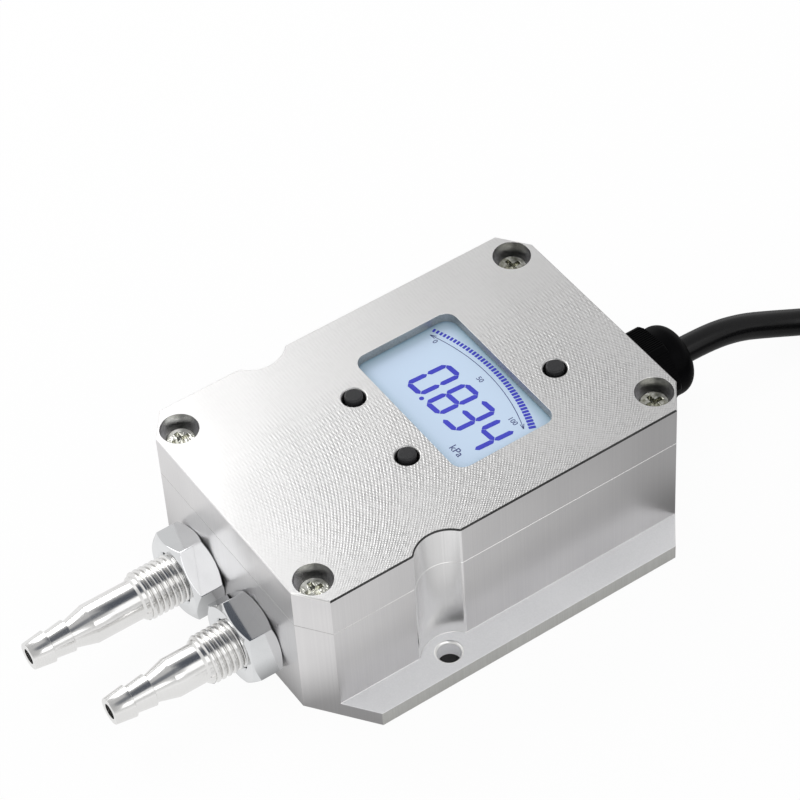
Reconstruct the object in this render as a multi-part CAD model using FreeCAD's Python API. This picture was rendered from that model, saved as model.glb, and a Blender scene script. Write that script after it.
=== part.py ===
"""Differential pressure transmitter with a display, in a milled aluminium housing.

Frame: the origin is the middle of the housing's underside, +Z is up towards the display, +Y points from
the two hose ports to the cable gland, and +X is to the right of someone who reads the display.
Sizes are in millimetres.
"""

import FreeCAD, Part
import math
import os

from FreeCAD import Vector

# Housing, outside
body_length = 86.0
body_width = 58.0
body_height = 32.5
cover_depth = 9.0
corner_cut_x = 6.0
corner_cut_y = 4.5
flange_reach = 6.5
flange_thickness = 3.5
edge_break = 0.25

# Housing, inside
side_wall = 3.0
end_wall = 4.0
floor_thickness = 2.5
cover_plate = 2.1
mill_radius = 1.2
post_radius = 4.6

# Mounting holes in the flanges, with a relief for the screw head in the wall above each
mount_hole_radius = 2.25
mount_hole_outset = 1.9
mount_hole_y = -15.6
mount_rim = 0.45
relief_radius = 6.5
relief_outset = 4.0
relief_blend = 0.8
relief_wall = 3.0

# Gasket between the base and the cover
gasket_width = 1.2
gasket_depth = 1.0
gasket_inset = 0.9

# Cover screws, M3 with a pan head
screw_side_margin = 6.3
screw_end_margin = 5.0
screw_radius = 1.5
screw_length = 12.0
screw_head_radius = 2.9
screw_head_height = 2.0
screw_head_depth = 2.8
counterbore_radius = 3.75
cross_width = 0.9
cross_span = 3.6
cross_depth = 1.2
pan_round = 0.2
blind_room = 1.5

# Clearances
running = 0.15
thread_fit = 0.05
seat_gap = 0.1

# Hose ports, M10 stud fittings with a jam nut and a seal ring
port_x_left = -10.6
port_x_right = 9.3
port_height = 9.0
port_thread_radius = 5.0
port_shank_radius = 3.95
port_neck_radius = 2.7
barb_radius = 3.25
port_bore_radius = 1.55
left_shank_length = 9.9
right_shank_length = 5.9
port_stud_length = 7.2
left_extra_stud = 1.5
shank_taper = 4.4
barb_pitch = 4.25
nipple_radius = 1.3
nipple_bore_radius = 0.6
nipple_length = 7.5
tube_run = 9.5
nut_wall = 3.0
nut_thickness = 6.4
nut_face_margin = 0.25
nut_chamfer_angle = 30.0
nut_lead = 0.6
left_nut_turn = -45.5
right_nut_turn = -16.5
seal_recess_radius = 6.6
seal_recess_depth = 1.5
seal_section_radius = 0.72

# Display opening, by its distances from the four sides of the cover, and the module under it
window_left_margin = 11.1
window_right_margin = 11.8
window_front_margin = 40.5
window_rear_margin = 23.2
window_corner = 2.6
glass_margin_x = 2.6
glass_margin_front = 1.1
glass_margin_rear = 2.8
glass_thickness = 2.2
glass_gap = 0.3
frame_wall = 0.8
frame_drop = 0.75
backlight_margin = 0.6
display_pin_count = 14
display_pin_pitch = 2.54
display_pin_width = 0.5
display_pin_thickness = 0.3
pin_overhang = 1.0

# Keys: each a black stem in a square switch on the display board
key_side_left = 19.2
key_side_right = 20.7
key_x_rear = 6.7
key_margin_left = 35.4
key_margin_right = 35.1
key_margin_rear = 16.1
key_hole_radius = 2.25
key_hole_rim = 0.3
stem_radius = 1.75
stem_chamfer = 0.25
stem_proud = 0.7
key_travel = 0.3
switch_side = 6.0
switch_height = 3.5
switch_wall = 0.5
stem_flange_radius = 2.25
stem_flange_height = 0.7
plunger_radius = 0.8
dome_height = 0.5
dome_thickness = 0.1
switch_leg_width = 0.7
switch_leg_reach = 1.1
switch_leg_thickness = 0.2

# Circuit boards
board_thickness = 1.6
display_board_side_gap = 3.5
display_board_front_gap = 26.4
display_board_rear_gap = 7.0
display_board_drop = 8.5
display_screw_side = 2.3
display_screw_end = 3.0
display_post_radius = 2.4
small_screw_radius = 1.0
small_screw_head_radius = 1.9
small_screw_head_height = 1.4
small_screw_length = 5.0
main_board_side_gap = 5.0
main_board_front_gap = 15.0
main_board_rear_gap = 8.0
main_screw_inset = 3.5
main_post_radius = 2.6
main_screw_radius = 1.25
main_screw_head_radius = 2.25
main_screw_head_height = 1.5
main_screw_length = 5.0

# Pressure sensor and its two tubes
sensor_x = -0.6
sensor_length = 11.0
sensor_width = 18.0
sensor_height = 5.6
sensor_corner = 1.0
sensor_pin_inset = 2.0
sensor_nozzle_spacing = 14.0
sensor_nozzle_length = 7.0
sensor_pin_count = 6
pin_pitch = 2.54
pin_side = 0.6
tube_outer_radius = 2.2
tube_clearance = 0.2

# Link between the boards
link_edge_gap = 4.4
link_front_gap = 22.5
link_pin_count = 6
link_width = 2.6
header_height = 2.5
socket_height = 7.0
link_engagement = 3.5

# Terminal block
terminal_inset = 3.5
terminal_depth = 8.0
terminal_width = 10.0
terminal_height = 9.0
terminal_pitch = 5.0
terminal_screw_radius = 1.7
terminal_screw_length = 3.0
terminal_slot_width = 0.6
terminal_slot_depth = 0.8
terminal_slope = 1.5
wire_entry_radius = 1.3
wire_entry_depth = 3.0
core_bend_share = 0.3

# Parts on the main board. A chip is (x, gap behind the sensor, width, depth, height), and a can is
# (x, distance from the board's rear edge, radius, height)
processor_side = 10.0
processor_height = 1.4
processor_edge_gap = 1.4
processor_gap = 0.6
chips = (
    (-5.6, 0.9, 5.0, 6.2, 1.5),
    (0.9, 1.0, 6.5, 3.6, 1.7),
    (0.9, 4.7, 5.0, 4.0, 1.5),
)
cans = ((-11.5, 12.0, 3.15, 7.0), (-8.2, 7.2, 2.5, 5.5))
can_round = 0.4

# Cable gland, M12
gland_height = 9.3
gland_thread_radius = 6.0
gland_across_flats = 15.3
gland_turn = 22.0
gland_hex_length = 4.8
gland_washer_thickness = 0.8
gland_neck_length = 6.5
gland_neck_radius = 5.6
gland_bore_radius = 4.4
gland_corner_room = 0.55
cap_hex_length = 7.4
cap_dome_length = 5.4
cap_dome_radius = 7.4
cap_dome_round = 3.35
cap_hex_round = 0.7
cap_wall = 1.3
cap_mouth_radius = 3.1
ridges_per_flat = 14
ridge_depth = 0.15
bush_length = 8.0
bush_seat_depth = 1.0
bush_taper_length = 1.2
bush_taper_depth = 0.9

# Cable, with two insulated cores
cable_radius = 2.75
core_radius = 0.9
core_spacing = 2.1
jacket_inside = 6.0

# The free lead: its route from the gland to the coil, chosen by hand
arc_share = 0.45
lead_first_run = 7.0
lead_points = (
    (0.5, 76.2, 8.0),
    (1.9, 83.4, 5.6),
    (4.3, 91.0, 3.6),
    (8.8, 100.5, 2.9),
    (15.1, 112.2, 3.2),
)

# The coil of unseen length, on two ties
coil_x = 50.2
coil_y = 107.0
coil_inner_turn = 27.5
coil_layers = 2
coil_turns_across = 2
coil_top_sweep = 300.0
coil_start_angle = 150.0
coil_corner = 0.6
coil_crest = 0.55
bare_core_sweep = 44.0
core_tip_sweep = 9.0
core_tip_radius = 0.6
tie_thickness = 1.1
tie_sweep = 8.0
tie_angles = (20.0, 250.0)

# Heights and places that follow from the sizes above
seam_height = body_height - cover_depth
front_face = -body_length / 2
rear_face = body_length / 2
cavity_front = front_face + end_wall
cavity_rear = rear_face - end_wall
cavity_side = body_width / 2 - side_wall
mount_hole_x = body_width / 2 + mount_hole_outset
screw_x = body_width / 2 - screw_side_margin
screw_y = body_length / 2 - screw_end_margin
nut_across_flats = 2 * (port_thread_radius + nut_wall)
window_left = -body_width / 2 + window_left_margin
window_right = body_width / 2 - window_right_margin
window_front = front_face + window_front_margin
window_rear = rear_face - window_rear_margin
plate_underside = body_height - cover_plate
glass_top = plate_underside - glass_gap
display_board_half_width = cavity_side - display_board_side_gap
display_board_front = cavity_front + display_board_front_gap
display_board_rear = cavity_rear - display_board_rear_gap
display_board_top = body_height - display_board_drop
main_board_half_width = cavity_side - main_board_side_gap
main_board_front = cavity_front + main_board_front_gap
main_board_rear = cavity_rear - main_board_rear_gap
main_board_top = port_height - tube_outer_radius - tube_clearance
main_board_bottom = main_board_top - board_thickness
nozzle_tip = cavity_front + nipple_length + tube_run
sensor_front = nozzle_tip + sensor_nozzle_length
sensor_rear = sensor_front + sensor_length
terminal_rear = main_board_rear - terminal_inset
link_x = link_edge_gap - main_board_half_width
link_y = main_board_front + link_front_gap
cap_start = rear_face + gland_washer_thickness + gland_hex_length + seat_gap
cap_end = cap_start + cap_hex_length + cap_dome_length
cable_inner_end = cavity_rear - jacket_inside
frame_inner_left = window_left - glass_margin_x
frame_inner_right = window_right + glass_margin_x
glass_front = window_front - glass_margin_front
glass_rear = window_rear + glass_margin_rear
keys = {
    "left": (key_side_left - body_width / 2, front_face + key_margin_left),
    "right": (body_width / 2 - key_side_right, front_face + key_margin_right),
    "rear": (key_x_rear, rear_face - key_margin_rear),
}
ports = {"left": port_x_left, "right": port_x_right}
X = Vector(1, 0, 0)
Y = Vector(0, 1, 0)
Z = Vector(0, 0, 1)


# Shapes that the sub-parts are made from


def block(low, high):
    """A box between two opposite corners."""
    size = [b - a for a, b in zip(low, high)]
    return Part.makeBox(*size, Vector(*low))


def post(x, y, z0, z1, radius):
    """An upright cylinder between two heights."""
    return Part.makeCylinder(radius, z1 - z0, Vector(x, y, z0), Z)


def rod(x, z, y0, y1, radius):
    """A cylinder along Y."""
    return Part.makeCylinder(radius, y1 - y0, Vector(x, y0, z), Y)


def prism(points, z0, z1):
    """A polygon in plan, given by (x, y) corners, pulled up between two heights."""
    wire = Part.makePolygon([Vector(x, y, z0) for x, y in points + points[:1]])
    return Part.Face(wire).extrude(Vector(0, 0, z1 - z0))


def turned(profile, x, z):
    """A solid turned about a line along Y, from (radius, y) points of its section."""
    points = [Vector(x + r, y, z) for r, y in profile]
    return Part.Face(Part.makePolygon(points + points[:1])).revolve(Vector(x, 0, z), Y, 360)


def hexagon_bar(x, z, y0, y1, across_flats, turn):
    """A hexagonal bar along Y. The turn is the angle of one corner from +Z towards +X."""
    reach = across_flats / math.sqrt(3)
    corners = []
    for k in range(7):
        angle = math.radians(turn + 60 * k)
        corners.append(Vector(x + reach * math.sin(angle), y0, z + reach * math.cos(angle)))
    return Part.Face(Part.makePolygon(corners)).extrude(Vector(0, y1 - y0, 0))


def rounded_plate(left, right, front, rear, radius, z0, z1):
    """A plate with round corners."""
    plate = block((left, front, z0), (right, rear, z1))
    upright = [e for e in plate.Edges if abs(e.tangentAt(e.FirstParameter).z) > 0.9]
    return plate.makeFillet(radius, upright)


def joined(shapes):
    """One solid from several that touch or overlap."""
    return shapes[0].fuse(shapes[1:]).removeSplitter()


def group(shapes):
    """Separate solids that share a node."""
    return Part.makeCompound(shapes)


# Housing


def plan_corners(reach):
    """The outline of the housing in plan, with cut corners, pushed out sideways by reach."""
    half_width = body_width / 2 + reach
    flat_half = body_width / 2 - corner_cut_x
    side_y = body_length / 2 - corner_cut_y * (corner_cut_x + reach) / corner_cut_x
    corners = []
    for sx, sy in ((1, -1), (1, 1), (-1, 1), (-1, -1)):
        pair = [(sx * flat_half, sy * body_length / 2), (sx * half_width, sy * side_y)]
        corners += pair if sx * sy < 0 else pair[::-1]
    return corners


def reliefs(extra, z0, z1):
    """The two upright round shapes above the mounting holes."""
    x = body_width / 2 + relief_outset
    return [post(s * x, mount_hole_y, z0, z1, relief_radius + extra) for s in (-1, 1)]


def relieved(body, z0, z1):
    """A body with the reliefs cut into its sides, and the corners that they leave blended."""
    body = body.cut(reliefs(0, z0, z1))
    half_chord = math.sqrt(relief_radius ** 2 - relief_outset ** 2)
    corners = []
    for edge in body.Edges:
        middle = edge.CenterOfMass
        beside = abs(abs(middle.x) - body_width / 2) < 0.01
        at_end = abs(abs(middle.y - mount_hole_y) - half_chord) < 0.01
        if beside and at_end and edge.BoundBox.ZLength > edge_break:
            corners.append(edge)
    return body.makeFillet(relief_blend, corners)


def screw_places():
    """Plan positions of the four cover screws."""
    return [(sx * screw_x, sy * screw_y) for sx in (-1, 1) for sy in (-1, 1)]


def cavity_plan(z):
    """The hollow's outline in plan, which goes round the screw posts and the reliefs."""
    hollow = block((-cavity_side, cavity_front, z), (cavity_side, cavity_rear, z + 1))
    blocks = [post(x, y, z, z + 1, post_radius) for x, y in screw_places()]
    hollow = hollow.cut(blocks + reliefs(relief_wall, z, z + 1))
    bottom = min(hollow.Faces, key=lambda f: f.CenterOfMass.z)
    return bottom.makeOffset2D(-mill_radius).makeOffset2D(mill_radius)


def cavity(z0, z1):
    """The hollow between two heights."""
    return cavity_plan(z0).extrude(Vector(0, 0, z1 - z0))


def gasket_ring():
    """The cord in its groove in the rim of the base."""
    plan = cavity_plan(seam_height - gasket_depth)
    outer = plan.makeOffset2D(gasket_inset + gasket_width)
    inner = plan.makeOffset2D(gasket_inset)
    return outer.cut(inner).extrude(Vector(0, 0, gasket_depth))


def main_screw_places():
    """Plan positions of the four screws of the main board."""
    x = main_board_half_width - main_screw_inset
    ends = (main_board_front + main_screw_inset, main_board_rear - main_screw_inset)
    return [(s * x, y) for s in (-1, 1) for y in ends]


def housing_base():
    """Milled tray with two flanges, screw posts, board posts and the threaded port holes."""
    base = joined([
        prism(plan_corners(flange_reach), 0, flange_thickness),
        relieved(prism(plan_corners(0), 0, seam_height), flange_thickness, seam_height),
    ])
    base = base.cut(cavity(floor_thickness, seam_height))
    posts = [post(x, y, floor_thickness, main_board_bottom, main_post_radius)
             for x, y in main_screw_places()]
    base = joined([base] + posts)
    cuts = [gasket_ring()]
    for side in (-1, 1):
        hole = post(side * mount_hole_x, mount_hole_y, 0, flange_thickness, mount_hole_radius)
        rim = Part.makeCone(mount_hole_radius, mount_hole_radius + mount_rim, mount_rim,
                            Vector(side * mount_hole_x, mount_hole_y, flange_thickness - mount_rim), Z)
        cuts += [hole, rim]
    screw_end = body_height - screw_head_depth - screw_head_height - screw_length
    for x, y in screw_places():
        cuts.append(post(x, y, screw_end - blind_room, seam_height, screw_radius + thread_fit))
    board_screw_end = main_board_top - main_screw_length
    for x, y in main_screw_places():
        cuts.append(post(x, y, board_screw_end, main_board_bottom, main_screw_radius + thread_fit))
    for x in ports.values():
        cuts.append(rod(x, port_height, front_face, cavity_front, port_thread_radius + thread_fit))
        recess_end = front_face + seal_recess_depth
        cuts.append(rod(x, port_height, front_face, recess_end, seal_recess_radius))
    cuts.append(rod(0, gland_height, cavity_rear, rear_face, gland_thread_radius + thread_fit))
    return base.cut(cuts)


def display_screw_places():
    """Plan positions of the four screws that hold the display board to the cover."""
    x = display_board_half_width - display_screw_side
    ends = (display_board_front + display_screw_end, display_board_rear - display_screw_end)
    return [(s * x, y) for s in (-1, 1) for y in ends]


def housing_cover():
    """Milled lid with the display opening, key holes and counterbored screw holes."""
    cover = relieved(prism(plan_corners(0), seam_height, body_height), seam_height, body_height)
    top = [e for e in cover.Edges if e.BoundBox.ZMin > body_height - edge_break]
    cover = cover.makeChamfer(edge_break, top)
    cover = cover.cut(cavity(seam_height, plate_underside))
    posts = [post(x, y, display_board_top, plate_underside, display_post_radius)
             for x, y in display_screw_places()]
    cover = joined([cover] + posts)
    cuts = [rounded_plate(window_left, window_right, window_front, window_rear,
                          window_corner, plate_underside, body_height)]
    for x, y in keys.values():
        cuts.append(post(x, y, plate_underside, body_height, key_hole_radius))
        cuts.append(Part.makeCone(key_hole_radius, key_hole_radius + key_hole_rim, key_hole_rim,
                                  Vector(x, y, body_height - key_hole_rim), Z))
    seat = body_height - screw_head_depth - screw_head_height
    for x, y in screw_places():
        cuts.append(post(x, y, seam_height, seat, screw_radius + running))
        cuts.append(post(x, y, seat, body_height, counterbore_radius))
    screw_top = display_board_top - board_thickness + small_screw_length
    for x, y in display_screw_places():
        cuts.append(post(x, y, display_board_top, screw_top, small_screw_radius + thread_fit))
    return cover.cut(cuts)


def pan_screw(x, y, seat, radius, length, head_radius, head_height, up=True):
    """A pan head screw. Its head stands up from the seat, or hangs under it."""
    way = 1 if up else -1
    shank = Part.makeCylinder(radius, length, Vector(x, y, seat), Z * -way)
    head = Part.makeCylinder(head_radius, head_height, Vector(x, y, seat), Z * way)
    rim = [e for e in head.Edges if abs(e.BoundBox.ZMin - seat - way * head_height) < 0.01]
    head = head.makeFillet(head_height * pan_round, rim[:1])
    span = head_radius * cross_span / (2 * screw_head_radius)
    half = cross_width / 2 * head_radius / screw_head_radius
    low = seat + way * (head_height - cross_depth * head_height / screw_head_height)
    high = seat + way * (head_height + 1)
    z0, z1 = sorted((low, high))
    cross = block((x - span, y - half, z0), (x + span, y + half, z1))
    cross = cross.fuse(block((x - half, y - span, z0), (x + half, y + span, z1)))
    return joined([shank, head]).cut(cross)


def cover_screws():
    """Four M3 screws in the counterbores of the cover."""
    seat = body_height - screw_head_depth - screw_head_height
    return group([pan_screw(x, y, seat, screw_radius, screw_length, screw_head_radius,
                            screw_head_height) for x, y in screw_places()])


# Hose ports


def port_fitting(side):
    """Stud with a shank and two hose barbs outside and a nipple for a soft tube inside."""
    extra = left_extra_stud if side == "left" else 0.0
    shank = left_shank_length if side == "left" else right_shank_length
    stud = front_face - nut_thickness - port_stud_length - extra
    taper = stud - shank
    neck = taper - shank_taper
    middle = neck - barb_pitch
    tip = middle - barb_pitch
    break_size = port_thread_radius - port_shank_radius
    nipple_end = cavity_front + nipple_length
    profile = [
        (port_bore_radius, tip), (port_neck_radius, tip), (barb_radius, middle),
        (port_neck_radius, middle), (barb_radius, neck), (port_neck_radius, neck),
        (port_shank_radius, taper), (port_shank_radius, stud),
        (port_thread_radius, stud + break_size), (port_thread_radius, cavity_front),
        (nipple_radius, cavity_front), (nipple_radius, nipple_end),
        (nipple_bore_radius, nipple_end), (nipple_bore_radius, cavity_front),
        (port_bore_radius, cavity_front - nipple_radius),
    ]
    return turned(profile, ports[side], port_height)


def port_nut(side):
    """Hexagonal jam nut, chamfered on both faces."""
    x = ports[side]
    turn = left_nut_turn if side == "left" else right_nut_turn
    outer = front_face - nut_thickness
    bar = hexagon_bar(x, port_height, outer, front_face, nut_across_flats, turn)
    reach = nut_across_flats / math.sqrt(3)
    start = nut_across_flats / 2 - nut_face_margin
    slope = (reach - start) * math.tan(math.radians(nut_chamfer_angle))
    envelope = turned([
        (0, outer), (start, outer), (reach, outer + slope),
        (reach, front_face - slope), (start, front_face), (0, front_face),
    ], x, port_height)
    hole = rod(x, port_height, outer, front_face, port_thread_radius + thread_fit)
    lead = Part.makeCone(port_thread_radius + nut_lead, port_thread_radius, nut_lead,
                         Vector(x, outer, port_height), Y)
    return bar.common(envelope).cut([hole, lead])


def port_seal(side):
    """Rubber ring in the recess under the nut."""
    ring_radius = port_thread_radius + thread_fit + seal_section_radius
    middle = front_face + seal_recess_depth / 2
    return Part.makeTorus(ring_radius, seal_section_radius, Vector(ports[side], middle, port_height), Y)


# Display


def display_glass():
    """Liquid crystal glass under the opening."""
    return block((frame_inner_left, glass_front, glass_top - glass_thickness),
                 (frame_inner_right, glass_rear, glass_top))


def display_backlight():
    """Light guide between the glass and the board."""
    return block(
        (frame_inner_left + backlight_margin, glass_front + backlight_margin, display_board_top),
        (frame_inner_right - backlight_margin, glass_rear - backlight_margin, glass_top - glass_thickness))


def display_pin_places():
    """Positions along X of the glass's contact pins."""
    middle = (frame_inner_left + frame_inner_right) / 2
    first = middle - (display_pin_count - 1) * display_pin_pitch / 2
    return [first + k * display_pin_pitch for k in range(display_pin_count)]


def display_frame():
    """Moulded rim round the glass and the light guide, seated on the board."""
    slack = thread_fit
    pin_room = display_pin_thickness + 2 * slack
    top = glass_top - frame_drop
    outer = block(
        (frame_inner_left - slack - frame_wall, glass_front - slack - frame_wall, display_board_top),
        (frame_inner_right + slack + frame_wall, glass_rear + pin_room + frame_wall, top))
    inner = block((frame_inner_left - slack, glass_front - slack, display_board_top),
                  (frame_inner_right + slack, glass_rear + pin_room, top))
    return outer.cut(inner)


def display_pins(grow=0.0):
    """Contact pins from the rear edge of the glass down through the board."""
    half = display_pin_width / 2 + grow
    y0 = glass_rear + thread_fit - grow
    y1 = glass_rear + thread_fit + display_pin_thickness + grow
    low = display_board_top - board_thickness - pin_overhang
    high = glass_top - glass_thickness / 2
    return group([block((x - half, y0, low), (x + half, y1, high)) for x in display_pin_places()])


def display_board():
    """Board that carries the display and the three switches."""
    bottom = display_board_top - board_thickness
    board = block((-display_board_half_width, display_board_front, bottom),
                  (display_board_half_width, display_board_rear, display_board_top))
    cuts = [post(x, y, bottom, display_board_top, small_screw_radius + running)
            for x, y in display_screw_places()]
    return board.cut(cuts + display_pins(thread_fit).Solids)


def display_board_screws():
    """Four M2 screws, up through the board into the cover."""
    seat = display_board_top - board_thickness
    return group([pan_screw(x, y, seat, small_screw_radius, small_screw_length,
                            small_screw_head_radius, small_screw_head_height, up=False)
                  for x, y in display_screw_places()])


# Keys


def key_switch(key):
    """Square body of a short-travel switch, open inside for the stem's flange and the snap dome."""
    x, y = keys[key]
    half = switch_side / 2
    top = display_board_top + switch_height
    body = block((x - half, y - half, display_board_top), (x + half, y + half, top))
    room = post(x, y, display_board_top + switch_wall, top - switch_wall, stem_flange_radius + 2 * running)
    mouth = post(x, y, top - switch_wall, top, stem_radius + running)
    return body.cut([room, mouth])


def stem_flange_top():
    """Height of the stem's flange at rest, just under the switch's top plate."""
    return display_board_top + switch_height - switch_wall - seat_gap


def key_stem(key):
    """Stem that the finger presses, with a flange that keeps it in the switch and a plunger under it."""
    x, y = keys[key]
    flange_top = stem_flange_top()
    flange_bottom = flange_top - stem_flange_height
    plunger_end = display_board_top + switch_wall + dome_height + key_travel + thread_fit
    top = body_height + stem_proud
    shaft = post(x, y, flange_top, top, stem_radius)
    rim = [e for e in shaft.Edges if e.BoundBox.ZMin > top - 0.01]
    shaft = shaft.makeChamfer(stem_chamfer, rim[:1])
    flange = post(x, y, flange_bottom, flange_top, stem_flange_radius)
    return joined([shaft, flange, post(x, y, plunger_end, flange_bottom, plunger_radius)])


def key_domes():
    """Thin snap discs under the plungers, at the height that they have when pressed."""
    floor = display_board_top + switch_wall
    span = stem_flange_radius
    bulge = (span ** 2 + dome_height ** 2) / (2 * dome_height)
    domes = []
    for x, y in keys.values():
        centre = Vector(x, y, floor + dome_height - bulge)
        shell = Part.makeSphere(bulge, centre).cut(Part.makeSphere(bulge - dome_thickness, centre))
        domes.append(shell.common(post(x, y, floor, floor + dome_height, span)))
    return group(domes)


def key_terminals():
    """Four gull-wing legs on each switch."""
    legs = []
    half = switch_side / 2
    for x, y in keys.values():
        for sx in (-1, 1):
            for offset in (-half / 2, half / 2):
                inner = x + sx * half
                outer = inner + sx * switch_leg_reach
                x0, x1 = sorted((inner, outer))
                y0 = y + offset - switch_leg_width / 2
                legs.append(block((x0, y0, display_board_top),
                                  (x1, y0 + switch_leg_width, display_board_top + switch_leg_thickness)))
    return group(legs)


# Main board and what it carries


def sensor_pin_places():
    """Plan positions of the sensor's pins."""
    first = sensor_x - (sensor_pin_count - 1) * pin_pitch / 2
    return [(first + k * pin_pitch, sensor_rear - sensor_pin_inset) for k in range(sensor_pin_count)]


def link_pin_places():
    """Plan positions of the pins between the two boards."""
    first = link_y - (link_pin_count - 1) * pin_pitch / 2
    return [(link_x, first + k * pin_pitch) for k in range(link_pin_count)]


def square_pins(places, z0, z1, grow=0.0):
    """Square pins at plan positions."""
    half = pin_side / 2 + grow
    return [block((x - half, y - half, z0), (x + half, y + half, z1)) for x, y in places]


def main_board():
    """Board on the posts of the base."""
    board = block((-main_board_half_width, main_board_front, main_board_bottom),
                  (main_board_half_width, main_board_rear, main_board_top))
    cuts = [post(x, y, main_board_bottom, main_board_top, main_screw_radius + running)
            for x, y in main_screw_places()]
    pins = sensor_pin_places() + link_pin_places()
    cuts += square_pins(pins, main_board_bottom, main_board_top, thread_fit)
    return board.cut(cuts)


def main_board_screws():
    """Four M2.5 screws that hold the main board down."""
    return group([pan_screw(x, y, main_board_top, main_screw_radius, main_screw_length,
                            main_screw_head_radius, main_screw_head_height)
                  for x, y in main_screw_places()])


def nozzle_places():
    """X of the sensor's two nozzles, left first."""
    return [sensor_x - sensor_nozzle_spacing / 2, sensor_x + sensor_nozzle_spacing / 2]


def pressure_sensor():
    """Moulded differential sensor with two nozzles towards the ports."""
    bottom = main_board_top + seat_gap
    body = block((sensor_x - sensor_width / 2, sensor_front, bottom),
                 (sensor_x + sensor_width / 2, sensor_rear, bottom + sensor_height))
    upright = [e for e in body.Edges if abs(e.tangentAt(e.FirstParameter).z) > 0.9]
    parts = [body.makeFillet(sensor_corner, upright)]
    for x in nozzle_places():
        parts.append(rod(x, port_height, nozzle_tip, sensor_front + sensor_corner, nipple_radius))
    body = joined(parts)
    bores = [rod(x, port_height, nozzle_tip, sensor_front, nipple_bore_radius) for x in nozzle_places()]
    return body.cut(bores)


def sensor_pins():
    """Pins from the sensor through the board."""
    low = main_board_bottom - pin_overhang
    return group(square_pins(sensor_pin_places(), low, main_board_top + seat_gap))


def impulse_tube(side):
    """Soft tube from a port's nipple to a nozzle of the sensor, in an S between two straight ends."""
    port = ports[side]
    nozzle = nozzle_places()[0 if side == "left" else 1]
    start = cavity_front + seat_gap
    straight = cavity_front + nipple_length
    last = nozzle_tip
    end = sensor_front - seat_gap
    shift = abs(nozzle - port)
    span = tube_run
    bend = (span ** 2 + shift ** 2) / (4 * shift)
    angle = math.asin(span / (2 * bend))
    way = 1 if nozzle > port else -1
    middle = Vector((port + nozzle) / 2, (straight + last) / 2, port_height)
    half = bend * math.sin(angle / 2)
    rise = bend * (1 - math.cos(angle / 2))
    first = Part.Arc(Vector(port, straight, port_height),
                     Vector(port + way * rise, straight + half, port_height), middle)
    second = Part.Arc(middle, Vector(nozzle - way * rise, last - half, port_height),
                      Vector(nozzle, last, port_height))
    path = Part.Wire([
        Part.LineSegment(Vector(port, start, port_height), Vector(port, straight, port_height)).toShape(),
        first.toShape(), second.toShape(),
        Part.LineSegment(Vector(nozzle, last, port_height), Vector(nozzle, end, port_height)).toShape(),
    ])
    return pipe(path, tube_outer_radius, Y).cut(pipe(path, nipple_radius + thread_fit / 2, Y))


def pipe(path, radius, direction):
    """A round bar of one radius along a wire that starts in the given direction."""
    start = path.OrderedVertexes[0].Point
    ring = Part.Wire([Part.Circle(start, direction, radius).toShape()])
    return path.makePipeShell([ring], True, False)


def terminal_places():
    """X of the two ways of the terminal block, left first."""
    return [-terminal_pitch / 2, terminal_pitch / 2]


def terminal_block():
    """Two-way block that the cable's cores are screwed into."""
    front = terminal_rear - terminal_depth
    top = main_board_top + terminal_height
    body = block((-terminal_width / 2, front, main_board_top), (terminal_width / 2, terminal_rear, top))
    slope = [e for e in body.Edges
             if e.BoundBox.ZMin > top - 0.01 and e.BoundBox.YMin > terminal_rear - 0.01]
    body = body.makeChamfer(terminal_slope, slope)
    cuts = []
    for x in terminal_places():
        cuts.append(rod(x, gland_height, terminal_rear - wire_entry_depth, terminal_rear, wire_entry_radius))
        cuts.append(post(x, front + terminal_depth / 2, top - terminal_screw_length - blind_room, top,
                         terminal_screw_radius + thread_fit))
    return body.cut(cuts)


def terminal_screws():
    """Slotted screws of the terminal block."""
    y = terminal_rear - terminal_depth / 2
    low = main_board_top + terminal_height - terminal_screw_length - blind_room
    high = low + terminal_screw_length
    screws = []
    for x in terminal_places():
        half = terminal_slot_width / 2
        slot = block((x - terminal_screw_radius, y - half, high - terminal_slot_depth),
                     (x + terminal_screw_radius, y + half, high))
        screws.append(post(x, y, low, high, terminal_screw_radius).cut(slot))
    return group(screws)


def inner_core(index):
    """Insulated core from the cable's end to the terminal block."""
    outer = (index - 0.5) * core_spacing
    inner = terminal_places()[index]
    y_start = cable_inner_end
    y_end = terminal_rear - wire_entry_depth + seat_gap
    y_entry = terminal_rear + core_radius
    length = (y_start - y_entry) / 2
    points = [
        Vector(outer, y_start, gland_height),
        Vector(outer, y_start - length * (1 - core_bend_share), gland_height),
        Vector(inner, y_entry + length * core_bend_share, gland_height),
        Vector(inner, y_end, gland_height),
    ]
    return pipe(rounded_route(points), core_radius, Y)


def link_header():
    """Plastic strip on the main board."""
    places = link_pin_places()
    half = link_width / 2
    low = (link_x - half, places[0][1] - half, main_board_top)
    high = (link_x + half, places[-1][1] + half, main_board_top + header_height)
    pins = square_pins(places, main_board_top, main_board_top + header_height, thread_fit)
    return block(low, high).cut(pins)


def socket_bottom():
    """Height of the socket's mouth."""
    return display_board_top - board_thickness - socket_height


def link_pins():
    """Square pins that join the boards."""
    low = main_board_bottom - pin_overhang
    return group(square_pins(link_pin_places(), low, socket_bottom() + link_engagement))


def link_socket():
    """Socket under the display board."""
    places = link_pin_places()
    half = link_width / 2
    bottom = socket_bottom()
    low = (link_x - half, places[0][1] - half, bottom)
    high = (link_x + half, places[-1][1] + half, display_board_top - board_thickness)
    pins = square_pins(places, bottom, bottom + link_engagement + seat_gap, thread_fit)
    return block(low, high).cut(pins)


def chip(x, y, width, depth, height):
    """A flat package on the main board, about its middle in x and from its front edge in y."""
    return block((x - width / 2, y, main_board_top), (x + width / 2, y + depth, main_board_top + height))


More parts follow.
